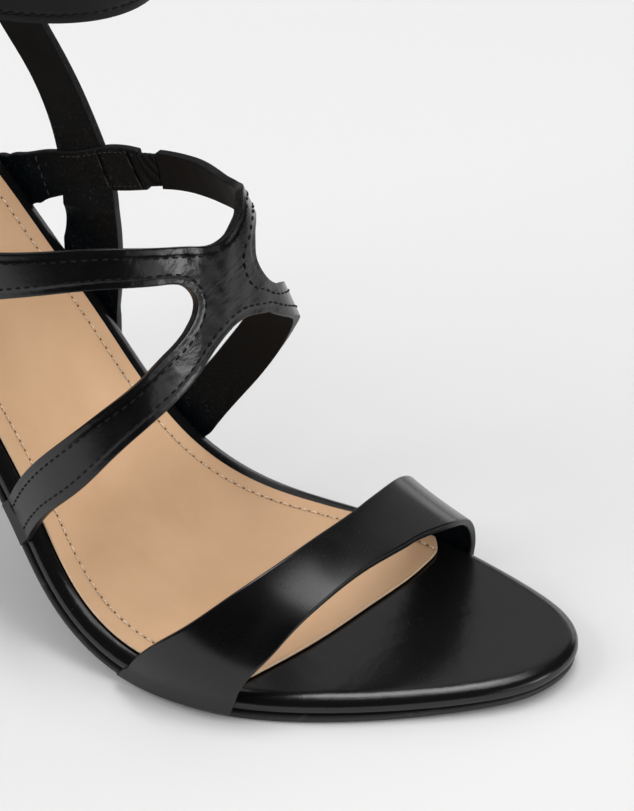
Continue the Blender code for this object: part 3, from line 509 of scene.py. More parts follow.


# %% [markdown]
# ## Leathers
# The uppers are black leather with a polished film: smooth and glossy, with a very fine grain,
# dust-fine specks, soft pulls near the stitched crossings and a pressed line under each row of
# stitches. The lining is the same leather with less polish and a pebbled grain, specked with tiny
# painted highlights.

# %% Outer leather, lining and cut edge
def outer_leather(name, rough=0.30, creases=0.0, stitched=True, shine=0.5):
    """Glossy leather: roughness and bump from fine noise, pulls from stretched noise."""
    s = Shader(name, Specular_IOR_Level=shine)
    patches = s.noise(90.0, 4.0, 0.6)
    grain = s.noise(2600.0, 2.0)
    pores = s.between(s.cells(1500.0), 0.02, 0.22)
    tone = s.colors(s.between(patches, 0.35, 0.7), (0.0022, 0.0022, 0.0024),
                    (0.0040, 0.0040, 0.0042))
    s.feed(Base_Color=tone, Roughness=rough + (patches - 0.5) * 0.10 + (1 - pores) * 0.10)
    relief = s.bump(grain * 0.6 + pores * 0.4, 0.000012)
    if creases:
        near = s.attribute("crease")
        pulls = s.noise(150.0, 3.0, 0.8, s.stretched((1.0, 0.35, 1.0), (0.3, 0.5, 0.6)))
        fine = s.noise(760.0, 2.0, 0.4, s.stretched((1.0, 0.14, 0.5), (0.2, 0.9, 0.5)))
        cross = s.noise(640.0, 2.0, 0.4, s.stretched((0.2, 1.0, 0.4), (0.7, 0.2, 0.1)))
        relief = s.bump((pulls * 0.8 + fine * 0.30 + cross * 0.22) * near, creases, relief)
    if stitched:
        edge = s.attribute("edge")
        away = (edge - STITCH_INSET * 1000) / 0.42
        groove = 1 / (1 + away * away * away * away)
        pucker = s.noise(620.0, 1.0)
        relief = s.bump((1 - groove) + pucker * groove * 0.35, 0.00013, relief)
    s.feed(Normal=relief)
    return s.material


def lining_leather(name):
    """Lining: pebbled grain, with tiny painted highlights, light specks painted where the grain
    would catch the light.
    """
    s = Shader(name, Specular_IOR_Level=0.13)
    pebble_and_glint_mask = s.attribute("pebble_and_glints")
    pebbles = s.between(s.cells(1150.0), 0.05, 0.6)
    soft = s.noise(160.0, 4.0)
    tone = s.colors(s.between(soft, 0.3, 0.75), (0.0014, 0.0033, 0.0048),
                    (0.0032, 0.0058, 0.0077))
    # Painted highlights: light specks painted into the lining's colour, as strong as the lining is
    # pebbled.
    grain = s.between(s.noise(1500.0, 2.0), 0.60, 0.74) * pebble_and_glint_mask
    tone = s.colors(grain * 0.6, tone, (0.036, 0.037, 0.039))
    s.feed(Base_Color=tone, Roughness=0.50 - pebble_and_glint_mask * 0.06 + soft * 0.10)
    fine = s.bump(s.noise(2400.0, 2.0), 0.000010)
    s.feed(Normal=s.bump(pebbles * pebble_and_glint_mask + soft * 0.5, 0.00010, fine))
    return s.material


def cut_edge(name):
    """Painted cut edge: a little lighter, with a fine grit."""
    s = Shader(name, Specular_IOR_Level=0.22)
    grit = s.noise(1700.0, 3.0)
    s.feed(Base_Color=s.colors(s.between(grit, 0.3, 0.7), (0.003, 0.003, 0.003),
                               (0.014, 0.014, 0.015)),
           Roughness=0.34 + grit * 0.2, Normal=s.bump(grit, 0.00002))
    return s.material


OUTER = outer_leather("strap leather, stitched", rough=0.22, creases=0.00028)
PLAIN = outer_leather("toe strap leather", rough=0.24, stitched=False)
LINING = lining_leather("strap lining")
EDGE = cut_edge("painted strap edge")
ANKLE = outer_leather("ankle strap leather", rough=0.34, creases=0.00028, shine=0.20)

# %% [markdown]
# ## Board, sole and heel materials
# The board is wrapped in the same black leather, pulled tight, so it is the glossiest piece. The
# outsole and the top piece are hard rubber. The sock is tan leather with a faint shine.


# %% Board wrap, outsole, heel and top piece
def board_wrap(name, rough=0.23):
    """Tight glossy wrap with small specks of dust and a faint ripple."""
    s = Shader(name, Specular_IOR_Level=0.5)
    ripple = s.noise(60.0, 3.0, 0.4)
    specks = s.between(s.noise(1500.0, 1.0), 0.73, 0.80)
    s.feed(Base_Color=s.colors(specks, (0.0042, 0.0042, 0.0044), (0.012, 0.012, 0.013)),
           Roughness=rough + (ripple - 0.5) * 0.08 + specks * 0.12)
    grain = s.noise(2300.0, 2.0)
    s.feed(Normal=s.bump(ripple, 0.00030, s.bump(grain, 0.000016)))
    return s.material


def hard_rubber(name, light=0.0):
    """Matt black rubber with fine grit and lighter scuffs."""
    s = Shader(name)
    grit = s.noise(1400.0, 3.0)
    scuff = s.between(s.noise(220.0, 5.0, 1.0), 0.55, 0.75)
    dark, pale = 0.015 + light, 0.034 + light
    s.feed(Base_Color=s.colors(scuff, (dark, dark, dark), (pale, pale, pale)),
           Roughness=0.46 + grit * 0.2, Normal=s.bump(grit, 0.00003))
    return s.material


WRAP = board_wrap("board wrap")
HEEL = board_wrap("heel cover", 0.22)
RUBBER = hard_rubber("outsole rubber")
TOP_PIECE = hard_rubber("top piece rubber", 0.004)


# %% Sock leather and threads
def sock_leather(name):
    """Tan leather: warm patches, fine pores, a pressed stitch channel darkened with painted shade,
    a pale cut edge.
    """
    s = Shader(name, Specular_IOR_Level=0.35)
    patches = s.noise(38.0, 4.0, 0.3)
    pores = s.between(s.cells(1300.0), 0.03, 0.30)
    edge = s.attribute("edge")
    base = s.colors(s.between(patches, 0.3, 0.7), (0.585, 0.360, 0.205), (0.655, 0.415, 0.245))
    shaded = s.colors(s.between(edge, 0.15, 0.50), (0.600, 0.430, 0.290), base)
    away = s.attribute("seam") / 0.45
    channel = 1 / (1 + away * away * away * away)
    # Painted shade: the colour is darkened to deep brown along the pressed stitch channel.
    with_channel_shade = s.colors(channel * 0.22, shaded, (0.330, 0.175, 0.085))
    s.feed(Base_Color=with_channel_shade, Roughness=0.47 + (patches - 0.5) * 0.14 + (1 - pores) * 0.06)
    fine = s.bump(pores, 0.000018)
    frayed = s.bump(s.noise(900.0, 3.0) * (1 - s.between(edge, 0.2, 0.9)), 0.00030, fine)
    s.feed(Normal=s.bump(1 - channel, 0.00022, s.bump(patches, 0.0004, frayed)))
    return s.material


def thread(name, color, rough, shine=0.5):
    """Twisted thread: a fine diagonal ripple."""
    s = Shader(name, Specular_IOR_Level=shine)
    twist = s.noise(1900.0, 2.0)
    darker = tuple(c * 0.6 for c in color)
    s.feed(Base_Color=s.colors(s.between(twist, 0.35, 0.65), darker, color),
           Roughness=rough + twist * 0.1, Normal=s.bump(twist, 0.00004))
    return s.material


SOCK_TAN = sock_leather("tan sock leather")
DARK_THREAD = thread("black thread", (0.006, 0.006, 0.007), 0.50, 0.20)
TAN_THREAD = thread("tan thread", (0.86, 0.68, 0.49), 0.60)
# Painted shade: a dark brown thread material for the shade inside the sock's needle holes.
HOLE_SHADE = thread("needle hole shade", (0.180, 0.090, 0.045), 0.80, 0.05)


# %% [markdown]
# ## Elastic and metal
# The gore is woven elastic with ribs across it, and the buckle is drawn wire with fine lines
# from polishing. The ribs could all be cut into the mesh. A wave texture on the piece's own UV
# map is lighter, and it follows the sheet.

# %% Elastic and buckle metal
def elastic_web(name):
    """Ribbed elastic: about two fine ribs to the millimetre, along the piece's own UV map."""
    s = Shader(name, Specular_IOR_Level=0.15)
    uv = s.node("ShaderNodeUVMap", {"uv_map": "rib"})
    ribs = s.node("ShaderNodeTexWave", {"bands_direction": "X"}, out="Fac", Vector=uv,
                  Scale=1.0, Distortion=0.3)
    knit = s.noise(2200.0, 2.0)
    s.feed(Base_Color=s.colors(ribs, (0.002, 0.002, 0.002), (0.011, 0.012, 0.014)),
           Roughness=0.62 + knit * 0.2, Normal=s.bump(ribs + knit * 0.3, 0.00022))
    return s.material


def polished_metal(name):
    """Polished wire with hairline scratches."""
    s = Shader(name, Metallic=1.0)
    lines = s.noise(900.0, 4.0, 0.0, s.stretched((1.0, 1.0, 0.08)))
    s.feed(Base_Color=s.colors(lines, (0.60, 0.58, 0.55), (0.78, 0.76, 0.73)),
           Roughness=0.14 + lines * 0.14, Normal=s.bump(lines, 0.00001))
    return s.material


ELASTIC = elastic_web("ribbed elastic")
METAL = polished_metal("polished buckle metal")
print("materials:", len(bpy.data.materials))

# %% [markdown]
# ## Plates that follow the sole
# Outsole and board are plates with the sole's outline. Each layer is the outline moved inward
# and lifted, and a quarter circle of layers rolls the upper edge, where a shoemaker folds the
# wrap over the board.


# %% Outline rings and plates
def outline_loop(count, inset, last=1.0, tuck=0.0, shy=0.0):
    """The outline moved inward along its own normal, by tuck more at the toe and by shy more
    along the inner side: share, inner y and outer y."""
    fine = (1 - np.cos(np.linspace(0, np.pi, 1201))) / 2
    inset = inset + tuck * (1 - smooth(fine / 0.16))
    shy = shy * smooth((fine - 0.18) / 0.10) * (1 - smooth((fine - 0.84) / 0.12))
    sides = []
    for k, sign, far in ((0, 1.0, inset + shy), (1, -1.0, inset)):
        y = edges(fine)[k]
        dx, dy = np.gradient(fine * LENGTH), np.gradient(y)
        size = np.hypot(dx, dy)
        px = fine * LENGTH + sign * dy / size * far
        py = y - sign * dx / size * far
        keep = np.concatenate([[True], np.diff(np.maximum.accumulate(px)) > 1e-9])
        sides.append((px[keep] / LENGTH, py[keep]))
    low = max(sides[0][0][0], sides[1][0][0], 0.0)
    high = min(sides[0][0][-1], sides[1][0][-1], last)
    share = low + (high - low) * (1 - np.cos(np.linspace(0, np.pi, count))) / 2
    inner, outer = np.interp(share, *sides[0]), np.interp(share, *sides[1])
    inner[0] = outer[0] = (inner[0] + outer[0]) / 2
    if last >= 1.0:
        inner[-1] = outer[-1] = (inner[-1] + outer[-1]) / 2
    return share, inner, outer


def plate(name, layers, material, last=1.0, tuck=0.0, count=180, across=8):
    """Rings of the layers joined up, with a grid of squares over the first and the last."""
    rings = []
    for inset, up in layers:
        share, inner, outer = outline_loop(count, inset, last, tuck)
        w = np.linspace(0, 1, across + 1)
        closing = outer[-1] + (inner[-1] - outer[-1]) * w[1:-1]
        opening = inner[0] + (outer[0] - inner[0]) * w[1:-1]
        s = np.concatenate([share, np.full(across - 1, share[-1]), share[::-1],
                            np.full(across - 1, share[0])])
        y = np.concatenate([outer, closing, inner[::-1], opening])
        rings.append(on_sole(s, y, up))
    points = [np.array(rings)]
    faces = [grid_faces(len(layers), len(rings[0]), loop_cols=True)]
    start = len(layers) * len(rings[0])
    for inset, up in (layers[0], layers[-1]):
        share, inner, outer = outline_loop(count, inset, last, tuck)
        w = np.linspace(0, 1, across + 1)
        y = outer[:, None] + (inner - outer)[:, None] * w
        points.append(on_sole(share[:, None], y, up))
        faces.append(grid_faces(count, across + 1, start))
        start += count * (across + 1)
    flat = np.concatenate([p.reshape(-1, 3) for p in points])
    return new_piece(name, flat, np.concatenate(faces), [material])


# %% Outsole and board
outsole = plate("outsole_look", [
    (0.0006, -TOP), (0.0001, -TOP + 0.0004), (-0.0001, -TOP + 0.0008), (-0.0002, -BOARD - GAP),
    (0.0004, -BOARD - GAP + 0.0001),
], RUBBER, last=0.796, tuck=0.0007)
finish_piece(outsole, "outsole", "outsole")

ROLL_WIDE, ROLL_TALL = 0.90 * BOARD, 0.62 * BOARD
quarter_turn = np.radians(np.linspace(0, 90, 12))
rolled = [(ROLL_WIDE * (1 - np.cos(a)), ROLL_TALL * (np.sin(a) - 1)) for a in quarter_turn]
board = plate("board_look", [
    (0.0012, -BOARD), (0.0006, -BOARD + 0.0001), (0.0002, -BOARD + 0.0004),
    (0.0, -BOARD + 0.0009), *rolled, (0.006, 0.0),
], WRAP)
finish_piece(board, "insole_board", "insole_board")

# %% [markdown]
# ## Sock
# The sock is glued on the board a little inside its edge. Its front edge runs obliquely across
# the toes, is cut raw, and shows slightly paler fibres. A line of tan stitches runs round it.


# %% Sock surface
def sock_front(w):
    """Where the sock begins at each place across, from the outer to the inner edge."""
    place = [0.00, 0.15, 0.33, 0.55, 0.75, 0.88, 0.95, 1.00]
    share = [0.216, 0.201, 0.187, 0.176, 0.167, 0.165, 0.168, 0.178]
    return spline(place, share, w)


def add_sock():
    """Grid across and along; each layer is moved inward and lifted to round the edge."""
    rows, cols = 170, 46
    w = (1 - np.cos(np.linspace(0, np.pi, cols))) / 2
    t = np.linspace(0, 1, rows)[:, None]
    layers = [(0.0002, GAP), (0.0, GAP + 0.0003), (0.0, GAP + SOCK * 0.55),
              (0.0002, GAP + SOCK * 0.85), (0.0006, GAP + SOCK)]
    grids = []
    for inset, up in layers:
        share, inner, outer = outline_loop(481, SOCK_INSET + inset, shy=SOCK_SHY)
        start = sock_front(w)[None, :] + inset / LENGTH
        s = start + (share[-1] - start) * np.sin(t * np.pi / 2) ** 1.1
        a, b = np.interp(s, share, inner), np.interp(s, share, outer)
        grids.append(on_sole(s, b + (a - b) * w, up))
    faces, points, rims = [], [], []
    for k, g in enumerate(grids):
        index = np.arange(rows * cols).reshape(rows, cols) + k * rows * cols
        points.append(g.reshape(-1, 3))
        rims.append(np.concatenate([index[:, 0], index[-1, 1:], index[::-1, -1][1:],
                                    index[0, ::-1][1:-1]]))
    faces.append(grid_faces(rows, cols, 0))
    faces.append(grid_faces(rows, cols, (len(grids) - 1) * rows * cols))
    for low, high in zip(rims[:-1], rims[1:]):
        faces.append(np.stack([low, np.roll(low, -1), np.roll(high, -1), high], -1))
    rim_points = grids[2].reshape(-1, 3)[rims[2] - 2 * rows * cols]
    piece = new_piece("sock_look", np.concatenate(points), np.concatenate(faces), [SOCK_TAN])
    loose = bmesh.new()
    loose.from_mesh(piece.data)
    bmesh.ops.delete(loose, geom=[v for v in loose.verts if not v.link_faces], context="VERTS")
    loose.to_mesh(piece.data)
    loose.free()
    set_attribute(piece, "edge", nearest(vertices(piece), rim_points) * 1000)
    return piece


sock = add_sock()
finish_piece(sock, "sock", "sock")

# %% [markdown]
# ## Stitches
# A stitch is a short length of thread that rises out of one hole and dives into the next. All
# the stitches of a seam are one array: a small tube bent over the line, repeated along it.


# %% Seams from arrays
def seam(name, path, normal, material, pitch=STITCH_PITCH, share=0.72, radius=0.00022,
         rise=0.00010, sides=6, rings=6, shift=0.0):
    """Stitch k runs from s_k - half to s_k + half along the path, where half is share*pitch/2
    and shift moves every stitch on by a part of the pitch. Its middle line is lifted by
    rise*(1 - 2.2q^2) and its tube is radius*sqrt(1 - 0.96q^4), with q from -0.98 to 0.98."""
    step = np.linalg.norm(np.diff(path, axis=0), axis=1)
    at = np.concatenate([[0], np.cumsum(step)])
    each = at[-1] / max(2, int(at[-1] / pitch))
    middle = np.arange(0.5 + shift, at[-1] / each - 0.4) * each
    count = len(middle)
    q = np.linspace(-0.98, 0.98, rings)
    s = middle[:, None] + q[None, :] * share * pitch / 2
    p = np.stack([np.interp(s, at, path[:, k]) for k in range(3)], -1)
    up = unit(np.stack([np.interp(s, at, normal[:, k]) for k in range(3)], -1))
    along = unit(np.gradient(p, axis=1))
    side = unit(np.cross(up, along))
    p = p + up * (rise * (1 - 2.2 * q ** 2))[None, :, None]
    size = radius * np.sqrt(1 - q ** 4 * 0.96)
    turn = np.linspace(0, 2 * np.pi, sides, endpoint=False)
    tube = p[:, :, None, :] + size[None, :, None, None] * (
        np.cos(turn)[None, None, :, None] * side[:, :, None, :]
        + np.sin(turn)[None, None, :, None] * up[:, :, None, :])
    one = grid_faces(rings, sides, loop_cols=True)
    block = rings * sides
    faces = (one[None] + (np.arange(count) * block)[:, None, None]).reshape(-1, 4).tolist()
    ends = np.arange(sides)
    starts = np.arange(count)[:, None] * block
    faces += (ends[::-1][None] + starts).tolist()
    faces += (ends[None] + starts + block - sides).tolist()
    mesh = bpy.data.meshes.new(name)
    mesh.from_pydata(tube.reshape(-1, 3).tolist(), [], faces)
    mesh.materials.append(material)
    outward(mesh)
    return place_object(name, mesh)


def sock_seam_line():
    """The sock's outline moved in, from the front edge round the heel and back."""
    share, inner, outer = outline_loop(481, SOCK_INSET + SOCK_SEAM_INSET, shy=SOCK_SHY)
    w = np.array([0.10, 0.93])
    first = sock_front(w)
    out_side, in_side = share > first[0], share > first[1]
    s = np.concatenate([share[out_side], share[in_side][::-1]])
    y = np.concatenate([outer[out_side], inner[in_side][::-1]])
    path = on_sole(s, y, GAP + SOCK)
    slope = sole(s)[2]
    return path, np.stack([np.sin(slope), 0 * s, np.cos(slope)], -1)


line, line_normal = sock_seam_line()
set_attribute(sock, "seam", nearest(vertices(sock), line) * 1000)
finish_piece(seam("sock_stitches", line, line_normal, TAN_THREAD, pitch=SOCK_PITCH, share=0.70,
                  radius=0.00021, rise=0.00016), "sock")
# Painted shade: short dark tubes sunk between the tan stitches stand in for the shade inside the
# needle holes.
finish_piece(seam("sock_needle_hole_shade", line, line_normal, HOLE_SHADE, pitch=SOCK_PITCH, share=0.22,
                  radius=0.00022, rise=-0.00002, shift=0.5), "sock")

# %% [markdown]
# ## Heel
# The heel is carved from block and covered, so its skin is one loft from the outline of the
# seat to the small outline of the top piece.


# %% Heel loft and top piece
TIP_LENGTH, TIP_WIDTH, TIP_HEIGHT = 0.0115, 0.0120, 0.0060
TIP_AHEAD = 0.45          # share of the tip's length in front of the origin
HEEL_FRONT = 0.800        # share along the sole where the heel begins
BACK_POWER, FRONT_GAIN, SIDE_POWER = 1.3, 2.9, 2.5   # how late the heel widens on its way up


def tip_ring(back, front, scale=1.0):
    """Half round at the back, straight at the front."""
    a = np.pi * np.arange(back) / (back - 1)
    half, ahead = TIP_WIDTH / 2 * scale, TIP_LENGTH * TIP_AHEAD * scale
    k = np.arange(1, front) / front
    x = np.concatenate([ahead - TIP_LENGTH * scale * np.sin(a) ** 0.9, 0 * k + ahead])
    y = np.concatenate([-half * np.cos(a), half - 2 * half * k])
    return np.column_stack([x, y])


def seat_ring(back, front):
    """Outline of the heel's top under the board."""
    share, inner, outer = outline_loop(481, 0.25 * BOARD)
    a = np.pi * np.arange(back) / (back - 1)
    s = HEEL_FRONT + (share[-1] - HEEL_FRONT) * np.sin(a)
    y = np.where(a < np.pi / 2, np.interp(s, share, outer), np.interp(s, share, inner))
    right, left = np.interp(HEEL_FRONT, share, inner), np.interp(HEEL_FRONT, share, outer)
    k = np.arange(1, front) / front
    return np.concatenate([s, 0 * k + HEEL_FRONT]), np.concatenate([y, right + (left - right) * k])


def loft(name, rings, material):
    """Rings joined up, closed by a point at the middle of each end."""
    rings = np.asarray(rings)
    count, n = rings.shape[:2]
    ends = np.stack([np.repeat(rings[:1].mean(1), n, 0)[None],
                     np.repeat(rings[-1:].mean(1), n, 0)[None]])
    stack = np.concatenate([ends[0], rings, ends[1]])
    return new_piece(name, stack, grid_faces(count + 2, n, loop_cols=True), [material])


def add_heel():
    """Each level moves from the tip's outline to the seat's by a power of the height, which
    is larger towards the front, so that the front curves and the back stays nearly straight."""
    back, front = 97, 30
    tip = tip_ring(back, front)
    top = on_sole(*seat_ring(back, front), -BOARD - GAP)
    ahead = np.clip((tip[:, 0] + TIP_LENGTH * (1 - TIP_AHEAD)) / TIP_LENGTH, 0, 1)
    t = (1 - (1 - np.linspace(0, 1, 80)) ** 1.4)[:, None]
    base = TIP_HEIGHT + GAP
    grow = t ** (BACK_POWER + FRONT_GAIN * ahead)[None]
    x = tip[:, 0] + (top[:, 0] - tip[:, 0]) * grow
    y = tip[:, 1] + (top[:, 1] - tip[:, 1]) * t ** SIDE_POWER
    z = base + (top[:, 2] - base) * t
    return roll_edge(loft("heel_look", np.stack([x, y, z], -1), HEEL), 0.0006, angle=40)


finish_piece(add_heel(), "heel", "heel")
tip_levels = [(0.90, 0.0), (0.97, 0.0002), (1.0, 0.0008), (1.0, TIP_HEIGHT - 0.0002),
              (0.98, TIP_HEIGHT)]
tip_rings = []
for scale, z in tip_levels:
    ring = tip_ring(65, 20, scale)
    tip_rings.append(np.column_stack([ring, np.full(len(ring), z)]))
finish_piece(loft("heel_tip_look", tip_rings, TOP_PIECE), "heel_tip", "heel_tip")

# %% [markdown]
# ## Toe strap
# One wide band from wall to wall, narrow over the inner side and broad at the outer side. It
# has no stitching: its edges are cut, painted and polished.


# %% Toe strap surface
TOE_STRAP = np.array([
    [0.00, 0.146, 0.214], [0.10, 0.140, 0.203], [0.25, 0.131, 0.191], [0.40, 0.130, 0.185],
    [0.50, 0.139, 0.186], [0.60, 0.151, 0.195], [0.70, 0.161, 0.209], [0.80, 0.172, 0.231],
    [0.90, 0.186, 0.263], [1.00, 0.208, 0.305], [1.04, 0.213, 0.315],
])


def add_toe_strap():
    """Rows round the arch, columns from the front edge to the rear edge."""
    wall = np.linspace(WALL / DEPTH, 0.0002, 7)
    turns = np.concatenate([-wall, np.linspace(0, 1, 150)[1:-1], 1 + wall[::-1]])
    front = spline(TOE_STRAP[:, 0], TOE_STRAP[:, 1], turns)
    rear = spline(TOE_STRAP[:, 0], TOE_STRAP[:, 2], turns)
    w = np.linspace(0, 1, 26)
    share = front[:, None] + (rear - front)[:, None] * w
    grid = form(share, turns[:, None] + 0 * share)
    piece = new_piece("toe_strap_look", grid, grid_faces(len(turns), len(w)),
                      [PLAIN, LINING, EDGE])
    mark_strap(piece, long_edges(grid), crease=0.0, pebble_and_glints=0.25)
    return thicken(piece, LEATHER, 0.0004)


finish_piece(add_toe_strap(), "toe_strap", "toe_strap")

# %% [markdown]
# ## The crossed instep strap
# Two long curves cross and melt into one piece, cut from a single skin. The pattern is four
# side curves. Each leg lies between two of them, and a patch blended from its four corners
# fills the crossing. The skin pulls into small creases where the legs turn.

# %% Side curves of the crossing
SIDE_FRONT = np.array([
    [0.447, 1.035], [0.443, 0.998], [0.438, 0.973], [0.432, 0.950], [0.425, 0.928],
    [0.411, 0.880], [0.395, 0.799], [0.380, 0.712],
    [0.376, 0.650], [0.381, 0.590], [0.380, 0.540], [0.366, 0.490], [0.357, 0.425],
    [0.359, 0.340], [0.368, 0.255], [0.381, 0.150], [0.393, 0.077], [0.409, 0.000],
    [0.415, -0.035],
])
SIDE_OUTER = np.array([
    [0.484, 1.035], [0.475, 0.970], [0.453, 0.883], [0.433, 0.806], [0.418, 0.736],
    [0.413, 0.689], [0.411, 0.645], [0.418, 0.618], [0.435, 0.621], [0.459, 0.666],
    [0.499, 0.746], [0.535, 0.809], [0.575, 0.873], [0.604, 0.917],
])
SIDE_REAR = np.array([
    [0.638, 0.900], [0.598, 0.846], [0.558, 0.786], [0.520, 0.722], [0.480, 0.645],
    [0.457, 0.588], [0.446, 0.551], [0.446, 0.519], [0.455, 0.492], [0.465, 0.452],
    [0.474, 0.390], [0.486, 0.325], [0.504, 0.275], [0.527, 0.238], [0.556, 0.193],
    [0.587, 0.148],
])
SIDE_INNER = np.array([
    [0.460, -0.035], [0.456, 0.000], [0.446, 0.030], [0.438, 0.070], [0.430, 0.124],
    [0.419, 0.200], [0.400, 0.290], [0.387, 0.385], [0.388, 0.452], [0.399, 0.487],
    [0.412, 0.496], [0.425, 0.482], [0.436, 0.450], [0.449, 0.383], [0.466, 0.300],
    [0.491, 0.240], [0.533, 0.171], [0.563, 0.126],
])
CORNERS = [(SIDE_FRONT, 0.500), (SIDE_OUTER, 0.622), (SIDE_REAR, 0.540), (SIDE_INNER, 0.495)]


def distances(table):
    """Distance along a side curve for each row, 0 to 1."""
    at = np.concatenate([[0], np.cumsum(np.hypot(np.diff(table[:, 0]) * 2.2,
                                                 np.diff(table[:, 1])))])
    return at / at[-1]


def side_curve(table, start, end, count):
    """Places on the form between two distances of a side curve."""
    at = distances(table)
    t = start + (end - start) * np.linspace(0, 1, count)
    return np.column_stack([spline(at, table[:, 0], t), spline(at, table[:, 1], t)])


def corner_of(table, turn):
    """Distance along a side curve where the crossing's corner lies."""
    t = np.linspace(0.2, 0.8, 1201)
    return t[np.argmin(np.abs(spline(distances(table), table[:, 1], t) - turn))]


print("corners at:", [round(float(corner_of(table, turn)), 3) for table, turn in CORNERS])


def leg(a, b):
    """Places between two rows of side places, straight across."""
    w = np.linspace(0, 1, 17)[None, :, None]
    return a[:, None, :] * (1 - w) + b[:, None, :] * w


# %% Legs, crossing and creases
def blend_patch(bottom, top, left, right):
    """Coons patch: the two ruled surfaces between opposite sides, minus the bilinear one."""
    n = len(bottom)
    u = np.linspace(0, 1, n)
    a, b = u[None, :, None], u[:, None, None]
    ruled = (1 - b) * bottom[None] + b * top[None] + (1 - a) * left[:, None] + a * right[:, None]
    corners = (1 - a) * (1 - b) * bottom[0] + a * (1 - b) * bottom[-1]
    return ruled - corners - (1 - a) * b * top[0] - a * b * top[-1]


def creased(points, normals, middle):
    """Soft pulls: sums of waves across the legs, strongest near the crossing, at most 0.2 mm."""
    away = np.linalg.norm(points - middle, axis=-1)
    near = np.exp(-(away / 0.022) ** 2)
    x, y, z = np.moveaxis(points * 1000, -1, 0)
    wave = np.sin(0.95 * x - 0.62 * y + 0.4 * z) + 0.7 * np.sin(0.52 * x + 0.9 * y - 0.3 * z + 1.3)
    wave += 0.5 * np.sin(1.5 * y + 0.8 * z + 0.6)
    return points + normals * (0.00008 * wave * near)[..., None]


def add_instep_strap():
    cf, co, cr, ci = (corner_of(table, turn) for table, turn in CORNERS)
    rows = 74
    legs = [
        leg(side_curve(SIDE_FRONT, cf, 0, rows), side_curve(SIDE_OUTER, co, 0, rows)),
        leg(side_curve(SIDE_OUTER, co, 1, rows), side_curve(SIDE_REAR, cr, 0, rows)),
        leg(side_curve(SIDE_REAR, cr, 1, rows), side_curve(SIDE_INNER, ci, 1, rows)),
        leg(side_curve(SIDE_INNER, ci, 0, rows), side_curve(SIDE_FRONT, cf, 1, rows)),
    ]
    front, outer, rear, inner = (q[0] for q in legs)
    hub = blend_patch(front, rear[::-1], inner[::-1], outer)
    middle = form(*hub[8, 8])
    inside, outside, faces, start = [], [], [], 0
    for patch in legs + [hub]:
        p, n = form(patch[..., 0], patch[..., 1], with_normal=True)
        p = creased(p, n, middle).reshape(-1, 3)
        inside.append(p)
        outside.append(p + n.reshape(-1, 3) * LEATHER)
        faces.append(grid_faces(*patch.shape[:2], start))
        start += len(p)
        du, dv = np.diff(patch, axis=0)[:, :-1], np.diff(patch, axis=1)[:-1]
        area = du[..., 0] * dv[..., 1] - du[..., 1] * dv[..., 0]
        print("folded squares:", int((area * np.sign(area.sum()) < 0).sum()), "of", area.size)
    piece = shell("instep_strap_look", np.concatenate(inside), np.concatenate(outside),
                  np.concatenate(faces), [OUTER, LINING, EDGE])
    rims = np.concatenate([form(*side_curve(t, 0, 1, 260).T)
                           for t in (SIDE_FRONT, SIDE_OUTER, SIDE_REAR, SIDE_INNER)])
    points = vertices(piece)
    away = np.linalg.norm(points - middle, axis=1)
    mark_strap(piece, rims, crease=np.exp(-(away / 0.034) ** 2),
               pebble_and_glints=0.05 + 0.95 * (1 - smooth((points[:, 2] - 0.030) / 0.010)))
    return piece, middle


instep_strap, crossing = add_instep_strap()
finish_piece(instep_strap, "instep_strap", "instep_strap")


# %% Seams along the side curves
def inset_path(curve, inset, off):
    """A side curve moved inset metres across the strap, towards the middle of the crossing.
    The step in places is the solution of ds*Ps + dt*Pt = inset*inward, where Ps and Pt are the
    two directions on the form."""
    s, t = curve.T
    e = 0.001
    point, normal = form(s, t, with_normal=True)
    ps = (form(s + e, t) - form(s - e, t)) / (2 * e)
    pt = (form(s, t + e) - form(s, t - e)) / (2 * e)
    tangent = unit(np.gradient(point, axis=0))
    across = unit(np.cross(normal, tangent))
    k = np.argmin(np.linalg.norm(point - crossing, axis=1))
    inward = np.sign(across[k] @ (crossing - point[k])) * across * inset
    a, b, c = (ps * ps).sum(1), (ps * pt).sum(1), (pt * pt).sum(1)
    d, f = (ps * inward).sum(1), (pt * inward).sum(1)
    det = a * c - b * b
    ds, dt = (c * d - b * f) / det, (a * f - b * d) / det
    return form(s + ds, t + dt, off, with_normal=True)


def strap_seam(name, table):
    """Black stitches on the outer face along one side curve, short of its two ends."""
    path, normal = inset_path(side_curve(table, 0.03, 0.97, 240), STITCH_INSET, LEATHER)
    return seam(name, path, normal, DARK_THREAD)


for name, table in (("front", SIDE_FRONT), ("outer", SIDE_OUTER), ("rear", SIDE_REAR),
                    ("inner", SIDE_INNER)):
    finish_piece(strap_seam("instep_seam_" + name, table), "instep_strap")

# %% [markdown]
# ## Ankle loop and side straps
# The ankle strap is one closed loop that tilts down to the front. At each side an upright strap
# climbs from the sole to it and ends in a small sleeve round it, and a second strap runs from
# the crossing down and back to the sole.

